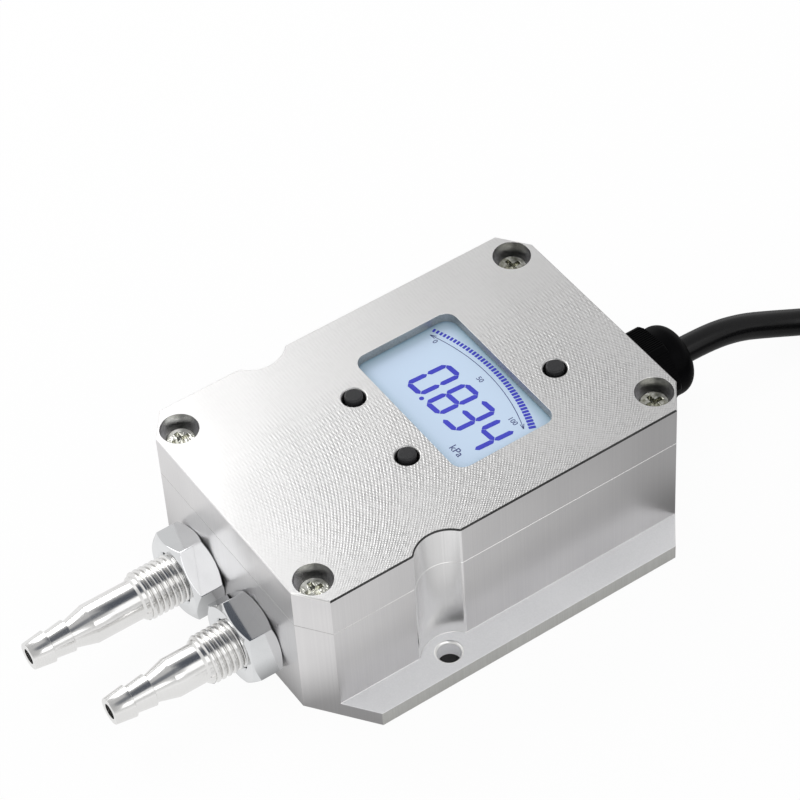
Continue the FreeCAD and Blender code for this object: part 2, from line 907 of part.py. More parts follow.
def main_board_chips():
    """Processor, signal converter, memory and loop driver."""
    middle = main_board_half_width - processor_edge_gap - processor_side / 2
    processor = chip(middle, sensor_rear + processor_gap, processor_side, processor_side, processor_height)
    return group([processor] + [chip(x, sensor_rear + gap, *size) for x, gap, *size in chips])


def main_board_capacitors():
    """Two electrolytic cans."""
    shapes = []
    for x, distance, radius, height in cans:
        can = post(x, main_board_rear - distance, main_board_top, main_board_top + height, radius)
        rim = [e for e in can.Edges if e.BoundBox.ZMin > main_board_top + height - 0.01]
        shapes.append(can.makeFillet(can_round, rim[:1]))
    return group(shapes)


# Cable gland


def ridged_bar(y0, y1, turn):
    """A hexagonal bar along Y with shallow grip ridges on its flats and blunted corners."""
    inner = gland_across_flats / 2
    half = inner * math.tan(math.radians(30)) - gland_corner_room
    pitch = 2 * half / (2 * ridges_per_flat - 1)
    corners = []
    for k in range(6):
        facing = math.radians(turn + 30 + 60 * k)
        for step in range(2 * ridges_per_flat):
            along = -half + step * pitch
            low = inner - ridge_depth
            pair = (inner, low) if step % 2 else (low, inner)
            if step in (0, 2 * ridges_per_flat - 1):
                pair = (inner,)
            for distance in pair:
                x = distance * math.sin(facing) + along * math.cos(facing)
                z = distance * math.cos(facing) - along * math.sin(facing)
                corners.append(Vector(x, y0, gland_height + z))
    wire = Part.makePolygon(corners + corners[:1])
    return Part.Face(wire).extrude(Vector(0, y1 - y0, 0))


def gland_washer():
    """Flat seal between the gland and the housing."""
    y1 = rear_face + gland_washer_thickness
    ring = rod(0, gland_height, rear_face, y1, gland_across_flats / 2)
    return ring.cut(rod(0, gland_height, rear_face, y1, gland_thread_radius + thread_fit))


def gland_body():
    """Threaded body: the stud in the wall, the hexagon, and the neck that the cap screws on."""
    hex_start = rear_face + gland_washer_thickness
    hex_end = hex_start + gland_hex_length
    neck_end = hex_end + gland_neck_length
    stud = rod(0, gland_height, cavity_rear, hex_start, gland_thread_radius)
    neck = rod(0, gland_height, hex_end, neck_end, gland_neck_radius)
    body = joined([stud, ridged_bar(hex_start, hex_end, gland_turn), neck])
    bore = rod(0, gland_height, cavity_rear, neck_end, cable_radius + running)
    seat = rod(0, gland_height, hex_end - bush_seat_depth, neck_end, gland_bore_radius + thread_fit)
    return body.cut([bore, seat])


def gland_bush():
    """Rubber bush that the cap squeezes onto the cable."""
    y0 = rear_face + gland_washer_thickness + gland_hex_length - bush_seat_depth + seat_gap
    y1 = y0 + bush_length
    bush = turned([
        (cable_radius + thread_fit, y0), (gland_bore_radius, y0),
        (gland_bore_radius, y1 - bush_taper_length), (gland_bore_radius - bush_taper_depth, y1),
        (cable_radius + thread_fit, y1),
    ], 0, gland_height)
    return bush


def gland_cap():
    """Cap nut with a ridged hexagon, rounded off at both ends, and a domed end."""
    hex_end = cap_start + cap_hex_length
    barrel = rod(0, gland_height, hex_end, cap_end, cap_dome_radius)
    rim = [e for e in barrel.Edges if e.BoundBox.YMin > cap_end - thread_fit]
    barrel = barrel.makeFillet(cap_dome_round, rim)
    reach = gland_across_flats / math.sqrt(3)
    envelope = turned([
        (0, cap_start), (reach - cap_hex_round, cap_start), (reach, cap_start + cap_hex_round),
        (reach, hex_end - cap_hex_round), (reach - cap_hex_round, hex_end), (0, hex_end),
    ], 0, gland_height)
    cap = joined([ridged_bar(cap_start, hex_end, gland_turn).common(envelope), barrel])
    thread_end = cap_start + gland_neck_length + seat_gap
    room_radius = gland_bore_radius + seat_gap
    room_end = cap_end - cap_wall - bush_seat_depth
    cuts = turned([
        (0, cap_start), (gland_neck_radius + thread_fit, cap_start),
        (gland_neck_radius + thread_fit, thread_end), (room_radius, thread_end + cap_hex_round),
        (room_radius, room_end - bush_taper_length), (cap_mouth_radius, room_end),
        (cap_mouth_radius, cap_end), (0, cap_end),
    ], 0, gland_height)
    return cap.cut(cuts)


def cable_end_inside():
    """The stretch of cable that the gland holds, with its jacket cut back inside the housing."""
    return rod(0, gland_height, cable_inner_end, cap_end, cable_radius)


# Free lead and coil


def rounded_route(points):
    """Straight runs joined by tangent arcs. An arc takes a set share of its shorter run."""
    edges = []
    here = points[0]
    for before, corner, after in zip(points, points[1:], points[2:]):
        back = (before - corner).normalize()
        ahead = (after - corner).normalize()
        room = arc_share * min((before - corner).Length, (after - corner).Length)
        turn = math.pi - back.getAngle(ahead)
        radius = room / math.tan(turn / 2)
        start = corner + back * room
        end = corner + ahead * room
        inward = (back + ahead).normalize()
        middle = corner + inward * (radius / math.cos(turn / 2) - radius)
        edges.append(Part.LineSegment(here, start).toShape())
        edges.append(Part.Arc(start, middle, end).toShape())
        here = end
    edges.append(Part.LineSegment(here, points[-1]).toShape())
    return Part.Wire(edges)


def route_radii(points):
    """The radius of each arc of a rounded route."""
    radii = []
    for before, corner, after in zip(points, points[1:], points[2:]):
        room = arc_share * min((before - corner).Length, (after - corner).Length)
        turn = math.pi - (before - corner).getAngle(after - corner)
        radii.append(round(room / math.tan(turn / 2), 1))
    return radii


def coil_point(radius, degrees, z):
    """A point of the coil. Angles go anticlockwise from +X about the coil's centre."""
    angle = math.radians(degrees)
    return Vector(coil_x + radius * math.cos(angle), coil_y + radius * math.sin(angle), z)


def coil_outer_turn():
    """Radius of the outermost turn."""
    return coil_inner_turn + 2 * cable_radius * (coil_turns_across - 1)


def lead_route():
    """Points of the free lead, from the gland's mouth to where it joins the coil's outer turn."""
    mouth = Vector(0, cap_end, gland_height)
    level = cable_radius + tie_thickness
    join = coil_point(coil_outer_turn(), coil_start_angle, level)
    points = [mouth, mouth + Y * lead_first_run]
    points += [Vector(*p) for p in lead_points]
    return points + [join]


def coil_section(grow):
    """Half of the coil's section as a face: stacked layers, with one more turn nested on top."""
    low = coil_inner_turn - cable_radius - grow
    high = coil_outer_turn() + cable_radius + grow
    bottom = tie_thickness - grow
    top = tie_thickness + 2 * cable_radius * coil_layers + grow
    corner = cable_radius * coil_corner
    points = [(low + corner, bottom), (high - corner, bottom), (high, bottom + corner), (high, top - corner),
              (high - corner, top), (low + corner, top), (low, top - corner), (low, bottom + corner)]
    wire = Part.makePolygon([Vector(coil_x + r, coil_y, z) for r, z in points + points[:1]])
    return Part.Face(wire)


def top_section(grow):
    """Section of the turn that lies on top."""
    middle = (coil_inner_turn + coil_outer_turn()) / 2
    top = tie_thickness + 2 * cable_radius * coil_layers
    rise = cable_radius * math.sqrt(3)
    half = cable_radius + grow
    base_half = half + cable_radius * coil_corner
    crest = half * coil_crest
    level = top + rise + grow
    points = [(middle - base_half, top), (middle + base_half, top),
              (middle + crest, level), (middle - crest, level)]
    wire = Part.makePolygon([Vector(coil_x + r, coil_y, z) for r, z in points + points[:1]])
    return Part.Face(wire)


def spun(face, start, sweep):
    """A section turned about the coil's axis, from a start angle."""
    centre = Vector(coil_x, coil_y, 0)
    solid = face.revolve(centre, Z, sweep)
    solid.rotate(centre, Z, start)
    return solid


def cable_coil():
    """Outer shape of the coil: two layers of two turns, and most of a turn on top."""
    ring = spun(coil_section(0), 0, 360)
    top = spun(top_section(0), coil_start_angle - coil_top_sweep, coil_top_sweep)
    return joined([ring, top])


def cable_lead():
    """The free lead, cut off where it meets the coil."""
    tube = pipe(rounded_route(lead_route()), cable_radius, Y)
    rest = tube.cut(spun(coil_section(0), 0, 360))
    return max(rest.Solids, key=lambda s: s.Volume)


def coil_ties():
    """Bands that hold the turns together and that the coil lies on."""
    ties = []
    for angle in tie_angles:
        start = angle - tie_sweep / 2
        outer = joined([spun(coil_section(tie_thickness), start, tie_sweep),
                        spun(top_section(tie_thickness), start, tie_sweep)])
        inner = joined([spun(coil_section(0), start - 1, tie_sweep + 2),
                        spun(top_section(0), start - 1, tie_sweep + 2)])
        ties.append(outer.cut(inner))
    return group(ties)


def bare_core(index, radius, start, sweep):
    """A stretch of stripped core that lies on the coil in the valley between two turns."""
    middle = (coil_inner_turn + coil_outer_turn()) / 2 + (index - 0.5) * core_spacing
    level = tie_thickness + 2 * cable_radius * coil_layers + core_radius
    ring = Part.Circle(Vector(coil_x + middle, coil_y, level), Y, radius).toShape()
    return spun(Part.Face(Part.Wire([ring])), start - sweep, sweep)


def free_core(index):
    """One insulated core past the end of the jacket."""
    return bare_core(index, core_radius, coil_start_angle - coil_top_sweep, bare_core_sweep)


def core_tips():
    """Tinned ends of the two cores."""
    start = coil_start_angle - coil_top_sweep - bare_core_sweep
    return group([bare_core(k, core_tip_radius, start, core_tip_sweep) for k in (0, 1)])


def all_nodes():
    """Every sub-part under its name."""
    nodes = {
        "housing_base": housing_base(),
        "housing_cover": housing_cover(),
        "cover_gasket": gasket_ring(),
        "cover_screws": cover_screws(),
        "display_glass": display_glass(),
        "display_backlight": display_backlight(),
        "display_frame": display_frame(),
        "display_pins": display_pins(),
        "display_board": display_board(),
        "display_board_screws": display_board_screws(),
        "key_domes": key_domes(),
        "key_terminals": key_terminals(),
        "main_board": main_board(),
        "main_board_screws": main_board_screws(),
        "main_board_chips": main_board_chips(),
        "main_board_capacitors": main_board_capacitors(),
        "pressure_sensor": pressure_sensor(),
        "sensor_pins": sensor_pins(),
        "terminal_block": terminal_block(),
        "terminal_screws": terminal_screws(),
        "inner_core_red": inner_core(0),
        "inner_core_black": inner_core(1),
        "link_header": link_header(),
        "link_pins": link_pins(),
        "link_socket": link_socket(),
        "gland_washer": gland_washer(),
        "gland_body": gland_body(),
        "gland_bush": gland_bush(),
        "gland_cap": gland_cap(),
        "cable_end_inside": cable_end_inside(),
        "cable_lead": cable_lead(),
        "cable_coil": cable_coil(),
        "coil_ties": coil_ties(),
        "core_red": free_core(0),
        "core_black": free_core(1),
        "core_tips": core_tips(),
    }
    for side in ports:
        nodes[f"port_fitting_{side}"] = port_fitting(side)
        nodes[f"port_nut_{side}"] = port_nut(side)
        nodes[f"port_seal_{side}"] = port_seal(side)
        nodes[f"impulse_tube_{side}"] = impulse_tube(side)
    for key in keys:
        nodes[f"key_switch_{key}"] = key_switch(key)
        nodes[f"key_stem_{key}"] = key_stem(key)
    return nodes


os.makedirs("parts", exist_ok=True)
for name, shape in all_nodes().items():
    shape.exportStep(os.path.join("parts", name + ".step"))
    print(name, len(shape.Solids), shape.isValid(), round(shape.Volume, 2))
route = lead_route()
lead = rounded_route(route)
print("lead radii", route_radii(route), "length", round(lead.Length, 1))
print("lead section times length", round(math.pi * cable_radius ** 2 * lead.Length, 1))
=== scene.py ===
"""Looks of a differential pressure transmitter with two hose ports, a display and a cable gland.

Sizes are in millimetres where a name or a docstring doesn't say otherwise, and the scene is in metres.
The frame is the part's own: +Z up, +Y from the hose ports to the cable gland, origin under the housing.
"""

import logging
import math
from collections.abc import Callable, Sequence
from dataclasses import dataclass, field
from enum import Enum

import bpy
from mathutils import Matrix, Vector

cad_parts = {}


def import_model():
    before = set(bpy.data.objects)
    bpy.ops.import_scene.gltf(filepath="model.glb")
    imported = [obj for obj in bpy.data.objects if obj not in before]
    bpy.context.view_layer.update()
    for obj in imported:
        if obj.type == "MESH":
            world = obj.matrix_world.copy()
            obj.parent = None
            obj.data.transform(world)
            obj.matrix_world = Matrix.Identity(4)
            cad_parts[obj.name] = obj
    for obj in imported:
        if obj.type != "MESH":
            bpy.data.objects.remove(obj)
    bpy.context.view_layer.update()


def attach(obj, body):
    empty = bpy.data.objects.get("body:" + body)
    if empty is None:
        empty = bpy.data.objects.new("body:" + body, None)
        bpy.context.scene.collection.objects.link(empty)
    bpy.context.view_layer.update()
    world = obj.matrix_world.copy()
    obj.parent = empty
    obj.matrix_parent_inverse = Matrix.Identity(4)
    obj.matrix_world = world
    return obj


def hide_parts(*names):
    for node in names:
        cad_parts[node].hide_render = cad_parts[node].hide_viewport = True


MM = 0.001
LOG = logging.getLogger("transmitter")

# Corners that lie nearer than this many metres are one
WELD_REACH = 1e-6
# Faces that turn by fewer degrees lie in one plane, and edges that turn by more are softened
FLAT_ANGLE = 0.5
SHARP_ANGLE = 32.0
# How much more the larger faces count in the shading
NORMAL_WEIGHT = 80
# Places of the colours among the sockets of a Mix node
MIX_COLOURS = (6, 7)
MIX_RESULT = 2

Colour = tuple[float, float, float]
Point = tuple[float, float, float]
Ends = tuple[float, float]
Span = tuple[float, float, float, float]


class Axis(Enum):
    """Directions that a piece can be turned about."""

    Y = (0.0, 1.0, 0.0)
    Z = (0.0, 0.0, 1.0)


class Side(Enum):
    """Where a port or a key stands, as the nodes' names say it."""

    LEFT = "left"
    RIGHT = "right"
    REAR = "rear"


class Ramp(Enum):
    """Ways from one end of a range to the other."""

    STRAIGHT = "LINEAR"
    SMOOTH = "SMOOTHSTEP"


class Pattern(Enum):
    """Fine patterns that a surface can carry."""

    GRAIN = "grain"
    CUTTER_ARCS = "cutter arcs"
    WALL_LINES = "wall lines"
    TURNED_LINES = "turned lines"


# Work on meshes


def select_only(piece: bpy.types.Object) -> None:
    """Select one object, make it active and deselect everything else.

    Args:
        piece: The object to work on.
    """
    bpy.ops.object.select_all(action="DESELECT")
    piece.select_set(True)
    bpy.context.view_layer.objects.active = piece


def in_edit_mode(piece: bpy.types.Object, steps: Callable[[], None]) -> None:
    """Run some mesh operators with everything on a piece selected.

    Args:
        piece: The mesh object.
        steps: Called in edit mode, with all of the mesh selected.
    """
    select_only(piece)
    bpy.ops.object.mode_set(mode="EDIT")
    bpy.ops.mesh.select_all(action="SELECT")
    steps()
    bpy.ops.object.mode_set(mode="OBJECT")


def select_vertices(piece: bpy.types.Object, wanted: Callable[[Vector], bool]) -> None:
    """Select the vertices of a piece by their place. Works from edit mode and stays in it.

    Args:
        piece: The mesh object that is being edited.
        wanted: Says from a vertex's place whether it is selected.
    """
    bpy.ops.mesh.select_mode(type="VERT")
    bpy.ops.mesh.select_all(action="DESELECT")
    bpy.ops.object.mode_set(mode="OBJECT")
    for vertex in piece.data.vertices:
        vertex.select = wanted(vertex.co)
    bpy.ops.object.mode_set(mode="EDIT")


def clean_mesh(piece: bpy.types.Object) -> None:
    """Merge doubled vertices and point all faces outwards.

    Args:
        piece: The mesh object.
    """

    def steps() -> None:
        """Merge, then turn the faces."""
        bpy.ops.mesh.remove_doubles(threshold=WELD_REACH)
        bpy.ops.mesh.normals_make_consistent(inside=False)

    in_edit_mode(piece, steps)


def apply_modifier(piece: bpy.types.Object, kind: str, **settings: object) -> None:
    """Add a modifier, set it up and apply it.

    Args:
        piece: The mesh object.
        kind: The modifier's type.
        settings: Values for its properties.
    """
    select_only(piece)
    modifier = piece.modifiers.new(kind.lower(), kind)
    for name, value in settings.items():
        setattr(modifier, name, value)
    bpy.ops.object.modifier_apply(modifier=modifier.name)


def soften_edges(piece: bpy.types.Object, width: float, angle: float = SHARP_ANGLE,
                 segments: int = 2) -> None:
    """Round or chamfer the sharp edges of a piece a little and shade the rest smooth.

    Args:
        piece: The mesh object.
        width: Width of the rounding.
        angle: Edges that turn by more than this many degrees are rounded.
        segments: Steps of the rounding. With 1 it is a flat chamfer.
    """
    apply_modifier(piece, "BEVEL", width=width * MM, segments=segments, limit_method="ANGLE",
                   angle_limit=math.radians(angle), use_clamp_overlap=True, miter_outer="MITER_ARC")
    bpy.ops.object.shade_smooth_by_angle(angle=math.radians(angle))
    apply_modifier(piece, "WEIGHTED_NORMAL", keep_sharp=True, weight=NORMAL_WEIGHT)


def refined_copy(node: str, name: str, edge: float, angle: float = SHARP_ANGLE,
                 segments: int = 2) -> bpy.types.Object:
    """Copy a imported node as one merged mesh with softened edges, which then stands for the node.

    Args:
        node: Name of the node.
        name: Name of the new piece.
        edge: Width of the rounding on its edges.
        angle: Edges that turn by more than this many degrees are rounded.
        segments: Steps of the rounding. With 1 it is a flat chamfer.

    Returns:
        The new piece.
    """
    source = bpy.data.objects[node]
    piece = bpy.data.objects.new(name, source.data.copy())
    bpy.context.scene.collection.objects.link(piece)
    piece.data.materials.clear()
    select_only(piece)
    bpy.ops.mesh.customdata_custom_splitnormals_clear()

    def steps() -> None:
        """Weld the loose triangles and join those that lie in one plane."""
        bpy.ops.mesh.remove_doubles(threshold=WELD_REACH)
        bpy.ops.mesh.dissolve_limited(angle_limit=math.radians(FLAT_ANGLE))
        bpy.ops.mesh.remove_doubles(threshold=WELD_REACH)

    in_edit_mode(piece, steps)
    soften_edges(piece, edge, angle, segments)
    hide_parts(node)
    return piece


def turned(name: str, outline: Sequence[tuple[float, float]], centre: Point, axis: Axis,
           steps: int = 96, sweep: float = 360.0) -> bpy.types.Object:
    """Turn an outline about an axis, as on a lathe.

    Args:
        name: Name of the new piece.
        outline: Points of the outline, as (radius, place along the axis).
        centre: A point on the axis.
        axis: Direction of the axis.
        steps: Number of steps in the sweep.
        sweep: How far it is turned, in degrees.

    Returns:
        The new piece, with its faces pointing outwards.
    """
    direction = Vector(axis.value)
    base = Vector(centre)
    spots = [(base + Vector((radius, 0, 0)) + direction * along) * MM for radius, along in outline]
    bpy.ops.mesh.primitive_plane_add(size=MM, location=spots[0])
    piece = bpy.context.object
    piece.name = name
    select_only(piece)
    bpy.ops.object.transform_apply(location=True, rotation=False, scale=False)

    def steps_of_work() -> None:
        """Draw the outline from a single point and spin it."""
        bpy.ops.mesh.merge(type="CENTER")
        for before, after in zip(spots, spots[1:]):
            bpy.ops.mesh.extrude_vertices_move(TRANSFORM_OT_translate={"value": after - before})
        bpy.ops.mesh.select_all(action="SELECT")
        bpy.ops.mesh.spin(steps=steps, angle=math.radians(sweep), center=base * MM, axis=direction)

    in_edit_mode(piece, steps_of_work)
    clean_mesh(piece)
    return piece


def joined(pieces: Sequence[bpy.types.Object], name: str) -> bpy.types.Object:
    """Join several mesh objects into one.

    Args:
        pieces: The objects to join.
        name: Name of the result.

    Returns:
        The joined object.
    """
    select_only(pieces[0])
    for piece in pieces[1:]:
        piece.select_set(True)
    bpy.ops.object.join()
    pieces[0].name = name
    return pieces[0]


def placed_copy(piece: bpy.types.Object, place: Matrix) -> bpy.types.Object:
    """Copy a piece, with a mesh of its own, and put the copy's place in its mesh.

    Args:
        piece: The piece to copy.
        place: Where the copy goes, as a matrix in metres.

    Returns:
        The copy.
    """
    copy = bpy.data.objects.new(piece.name, piece.data.copy())
    bpy.context.scene.collection.objects.link(copy)
    copy.data.transform(place)
    return copy


def hand_in(piece: bpy.types.Object, body: str, slot: str) -> None:
    """Tie a finished piece to its body, and report it with the name of its material slot.

    Args:
        piece: The finished piece.
        body: Body that it moves with.
        slot: Name of its material slot, which the log reports.
    """
    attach(piece, body)
    count = len(piece.data.polygons) if piece.type == "MESH" else 0
    LOG.info("%s on %s, %s, %d faces", piece.name, body, slot, count)


# Node work


@dataclass
class NodeSheet:
    """The nodes of one material, world or group."""

    tree: bpy.types.NodeTree

    def add(self, kind: str, **settings: object) -> bpy.types.Node:
        """Add a node and set its properties.

        Args:
            kind: Name of the node's type, without the common start.
            settings: Values for its properties.

        Returns:
            The new node.
        """
        node = self.tree.nodes.new("ShaderNode" + kind)
        for name, value in settings.items():
            setattr(node, name, value)
        return node

    def wire(self, source: bpy.types.NodeSocket, target: bpy.types.NodeSocket) -> None:
        """Join an output to an input."""
        self.tree.links.new(source, target)

    def feed(self, value: float | bpy.types.NodeSocket, target: bpy.types.NodeSocket) -> None:
        """Put a number in an input, or join an output to it.

        Args:
            value: The number or the output.
            target: The input.
        """
        if isinstance(value, bpy.types.NodeSocket):
            self.wire(value, target)
        else:
            target.default_value = value

    def maths(self, operation: str, *values: float | bpy.types.NodeSocket) -> bpy.types.NodeSocket:
        """Do one step of arithmetic.

        Args:
            operation: Name of the operation.
            values: Numbers or outputs that it works on.

        Returns:
            The output that holds the result.
        """
        node = self.add("Math", operation=operation)
        for value, target in zip(values, node.inputs):
            self.feed(value, target)
        return node.outputs[0]

    def blend(self, share: bpy.types.NodeSocket, low: Colour, high: Colour) -> bpy.types.NodeSocket:
        """Go from one colour to another by a share that changes over the surface.

        Args:
            share: Output with the share, from 0 to 1.
            low: Colour at 0.
            high: Colour at 1.

        Returns:
            The output that holds the colour.
        """
        node = self.add("Mix", data_type="RGBA")
        self.wire(share, node.inputs[0])
        for place, colour in zip(MIX_COLOURS, (low, high)):
            node.inputs[place].default_value = (*colour, 1.0)
        return node.outputs[MIX_RESULT]

    def mixed(self, share: bpy.types.NodeSocket, first: bpy.types.Node,
              second: bpy.types.Node) -> bpy.types.NodeSocket:
        """Mix two surfaces or two backgrounds.

        Args:
            share: Output with the share of the second one, from 0 to 1.
            first: Node of the one that shows at 0.
            second: Node of the one that shows at 1.

        Returns:
            The output that holds the mixture.
        """
        node = self.add("MixShader")
        self.wire(share, node.inputs[0])
        self.wire(first.outputs[0], node.inputs[1])
        self.wire(second.outputs[0], node.inputs[2])
        return node.outputs[0]

    def spread(self, value: bpy.types.NodeSocket, low: float, high: float,
               start: float = 0.0, end: float = 1.0, ramp: Ramp = Ramp.STRAIGHT) -> bpy.types.NodeSocket:
        """Map an output from one range to another.

        Args:
            value: Output to map.
            low: Result at the start.
            high: Result at the end.
            start: Start of the range of the output.
            end: End of the range of the output.
            ramp: The way between the ends.

        Returns:
            The output that holds the result.
        """
        node = self.add("MapRange", interpolation_type=ramp.value)
        self.wire(value, node.inputs["Value"])
        node.inputs["From Min"].default_value = start
        node.inputs["From Max"].default_value = end
        node.inputs["To Min"].default_value = low
        node.inputs["To Max"].default_value = high
        return node.outputs[0]


def blank_material(name: str) -> tuple[bpy.types.Material, NodeSheet]:
    """Make a material that has no nodes yet.

    Args:
        name: Its name.

    Returns:
        The material, and the sheet for its nodes.
    """
    made = bpy.data.materials.new(name)
    made.use_nodes = True
    made.node_tree.nodes.clear()
    return made, NodeSheet(made.node_tree)


class PatternGroup:
    """A shader node group with named inputs and outputs, built once and shared."""

    def __init__(self, name: str, inputs: dict[str, float | None], outputs: Sequence[str]) -> None:
        """Make the group's tree and its sockets.

        Args:
            name: Name of the group.
            inputs: Names of its inputs with their first values, or None for a vector.
            outputs: Names of its outputs.
        """
        self.tree = bpy.data.node_groups.new(name, "ShaderNodeTree")
        for title, value in inputs.items():
            kind = "NodeSocketVector" if value is None else "NodeSocketFloat"
            socket = self.tree.interface.new_socket(name=title, in_out="INPUT", socket_type=kind)
            if value is not None:
                socket.default_value = value
        for title in outputs:
            self.tree.interface.new_socket(name=title, in_out="OUTPUT", socket_type="NodeSocketFloat")
        self.sheet = NodeSheet(self.tree)
        self.start = self.tree.nodes.new("NodeGroupInput").outputs
        self.end = self.tree.nodes.new("NodeGroupOutput").inputs

    def place(self, sheet: NodeSheet, vector: bpy.types.NodeSocket,
              **values: float) -> bpy.types.bpy_prop_collection:
        """Put the group in a material.

        Args:
            sheet: The material's nodes.
            vector: Output with the coordinates.
            values: Values of the group's other inputs, by name.

        Returns:
            The outputs of the placed group.
        """
        node = sheet.add("Group", node_tree=self.tree)
        sheet.wire(vector, node.inputs["Vector"])
        for name, value in values.items():
            node.inputs[name].default_value = value
        return node.outputs


@dataclass(frozen=True)
class Grain:
    """Fine even grain with slow changes of tone. The sizes are first values that a finish may change."""

    size: float = 0.5
    tone_size: float = 14.0
    detail: float = 3.0
    tone_detail: float = 1.0

    def group(self) -> PatternGroup:
        """Build the grain's group.

        Returns:
            A group with the outputs Value and Tone.
        """
        group = PatternGroup("fine_grain", {"Vector": None, "Size": self.size, "Tone Size": self.tone_size},
                             ("Value", "Tone"))
        sheet = group.sheet
        for size, title, detail in (("Size", "Value", self.detail), ("Tone Size", "Tone", self.tone_detail)):
            noise = sheet.add("TexNoise")
            noise.inputs["Detail"].default_value = detail
            sheet.wire(group.start["Vector"], noise.inputs["Vector"])
            sheet.wire(sheet.maths("DIVIDE", 1 / MM, group.start[size]), noise.inputs["Scale"])
            sheet.wire(noise.outputs["Fac"], group.end[title])
        return group


@dataclass(frozen=True)
class CutterArcs:
    """The crossed arcs that a wide face mill leaves in one pass along Y.

    The feed per turn, the cutter's radius and the distance of its middle are lengths. Scales count the
    changes in a millimetre, or in a turn for the wobble. A Span says where something goes over: the two
    results first, and then the two ends of the range.
    """

    feed: float = 0.7
    cutter: float = 60.0
    offset: float = 18.0
    wobble_scale: float = 0.45
    wobble: Span = (0.72, 1.0, 0.35, 0.6)
    # The arcs are real tool marks; their fades towards the top's left and front, where it is lit brightest,
    # lighten it there as painted highlight
    fade_across: Span = (0.15, 1.0, 3.0, 18.0)
    fade_along: Span = (0.15, 1.0, -40.0, -24.0)
    break_scale: float = 0.8
    breaks: Span = (0.5, 1.0, 0.42, 0.55)
    patch_scale: float = 0.075
    patches: Span = (0.6, 1.0, 0.38, 0.56)
    detail: float = 2.0

    def arcs(self, sheet: NodeSheet, distance: bpy.types.NodeSocket,
             feed: bpy.types.NodeSocket) -> bpy.types.NodeSocket:
        """Lay out one set of arcs, a little uneven in depth.

        Args:
            sheet: The group's nodes.
            distance: Output with the distance along the pass, measured to the cutter's rim.
            feed: Output with the feed per turn.

        Returns:
            An output that is near 0 in the arcs and 1 between them.
        """
        turns = sheet.maths("DIVIDE", distance, feed)
        wave = sheet.maths("ABSOLUTE", sheet.maths("SINE", sheet.maths("MULTIPLY", turns, math.pi)))
        uneven = sheet.add("TexNoise", noise_dimensions="1D")
        uneven.inputs["Scale"].default_value = self.wobble_scale
        sheet.wire(turns, uneven.inputs["W"])
        depth = sheet.spread(uneven.outputs["Fac"], *self.wobble, Ramp.SMOOTH)
        dip = sheet.maths("MULTIPLY", sheet.maths("SUBTRACT", 1.0, wave), depth)
        return sheet.maths("SUBTRACT", 1.0, dip)

    def patchy(self, sheet: NodeSheet, vector: bpy.types.NodeSocket, scale: float,
               span: Span) -> bpy.types.NodeSocket:
        """Lay out soft patches in which the arcs are deeper or fainter.

        Args:
            sheet: The group's nodes.
            vector: Output with the coordinates.
            scale: Changes in a millimetre.
            span: Where the patches go over.

        Returns:
            The output that holds the patches.
        """
        noise = sheet.add("TexNoise")
        noise.inputs["Scale"].default_value = scale / MM
        noise.inputs["Detail"].default_value = self.detail
        sheet.wire(vector, noise.inputs["Vector"])
        return sheet.spread(noise.outputs["Fac"], *span)

    def group(self) -> PatternGroup:
        """Build the group for the arcs.

        Returns:
            A group with the outputs Height and Groove: the scales between the arcs, and the arcs themselves.
        """
        group = PatternGroup(
            "cutter_arcs", {"Vector": None, "Feed": self.feed, "Cutter": self.cutter, "Offset": self.offset},
            ("Height", "Groove"))
        sheet = group.sheet
        start = group.start
        parts = sheet.add("SeparateXYZ")
        sheet.wire(start["Vector"], parts.inputs[0])
        across = sheet.maths("ADD", sheet.maths("DIVIDE", parts.outputs["X"], MM), start["Offset"])
        along = sheet.maths("DIVIDE", parts.outputs["Y"], MM)
        square = sheet.maths("SUBTRACT", sheet.maths("POWER", start["Cutter"], 2.0),
                             sheet.maths("POWER", across, 2.0))
        reach = sheet.maths("SQRT", sheet.maths("MAXIMUM", square, 0.0))
        scales = sheet.maths("MULTIPLY", *(self.arcs(sheet, sheet.maths(way, along, reach), start["Feed"])
                                           for way in ("SUBTRACT", "ADD")))
        faded = sheet.maths("MULTIPLY", sheet.spread(across, *self.fade_across),
                            sheet.spread(along, *self.fade_along))
        broken = self.patchy(sheet, start["Vector"], self.break_scale, self.breaks)
        patches = self.patchy(sheet, start["Vector"], self.patch_scale, self.patches)
        cover = sheet.maths("MULTIPLY", patches, sheet.maths("MULTIPLY", faded, broken))
        sheet.wire(sheet.maths("MULTIPLY", scales, cover), group.end["Height"])
        sheet.wire(sheet.maths("MULTIPLY", sheet.maths("SUBTRACT", 1.0, scales), cover), group.end["Groove"])
        return group


@dataclass(frozen=True)
class ToolLines:
    """Fine parallel lines along one of the three directions.

    A coordinate that is multiplied by 0 makes no change, so the lines run along it.
    """

    directions: Point = (1.0, 1.0, 0.0)
    size: float = 0.4
    detail: float = 3.0

    def group(self) -> PatternGroup:
        """Build the group for the lines.

        Returns:
            A group with the output Value.
        """
        x, y, z = self.directions
        group = PatternGroup("tool_lines", {"Vector": None, "X": x, "Y": y, "Z": z, "Size": self.size},
                             ("Value",))
        sheet = group.sheet
        parts = sheet.add("SeparateXYZ")
        sheet.wire(group.start["Vector"], parts.inputs[0])
        whole = sheet.add("CombineXYZ")
        for title in "XYZ":
            sheet.wire(sheet.maths("MULTIPLY", parts.outputs[title], group.start[title]), whole.inputs[title])
        noise = sheet.add("TexNoise")
        noise.inputs["Detail"].default_value = self.detail
        sheet.wire(whole.outputs[0], noise.inputs["Vector"])
        sheet.wire(sheet.maths("DIVIDE", 1 / MM, group.start["Size"]), noise.inputs["Scale"])
        sheet.wire(noise.outputs["Fac"], group.end["Value"])
        return group


class SharedGroup(Enum):
    """The pattern groups that the finishes share."""

    GRAIN = Grain()
    CUTTER = CutterArcs()
    LINES = ToolLines()


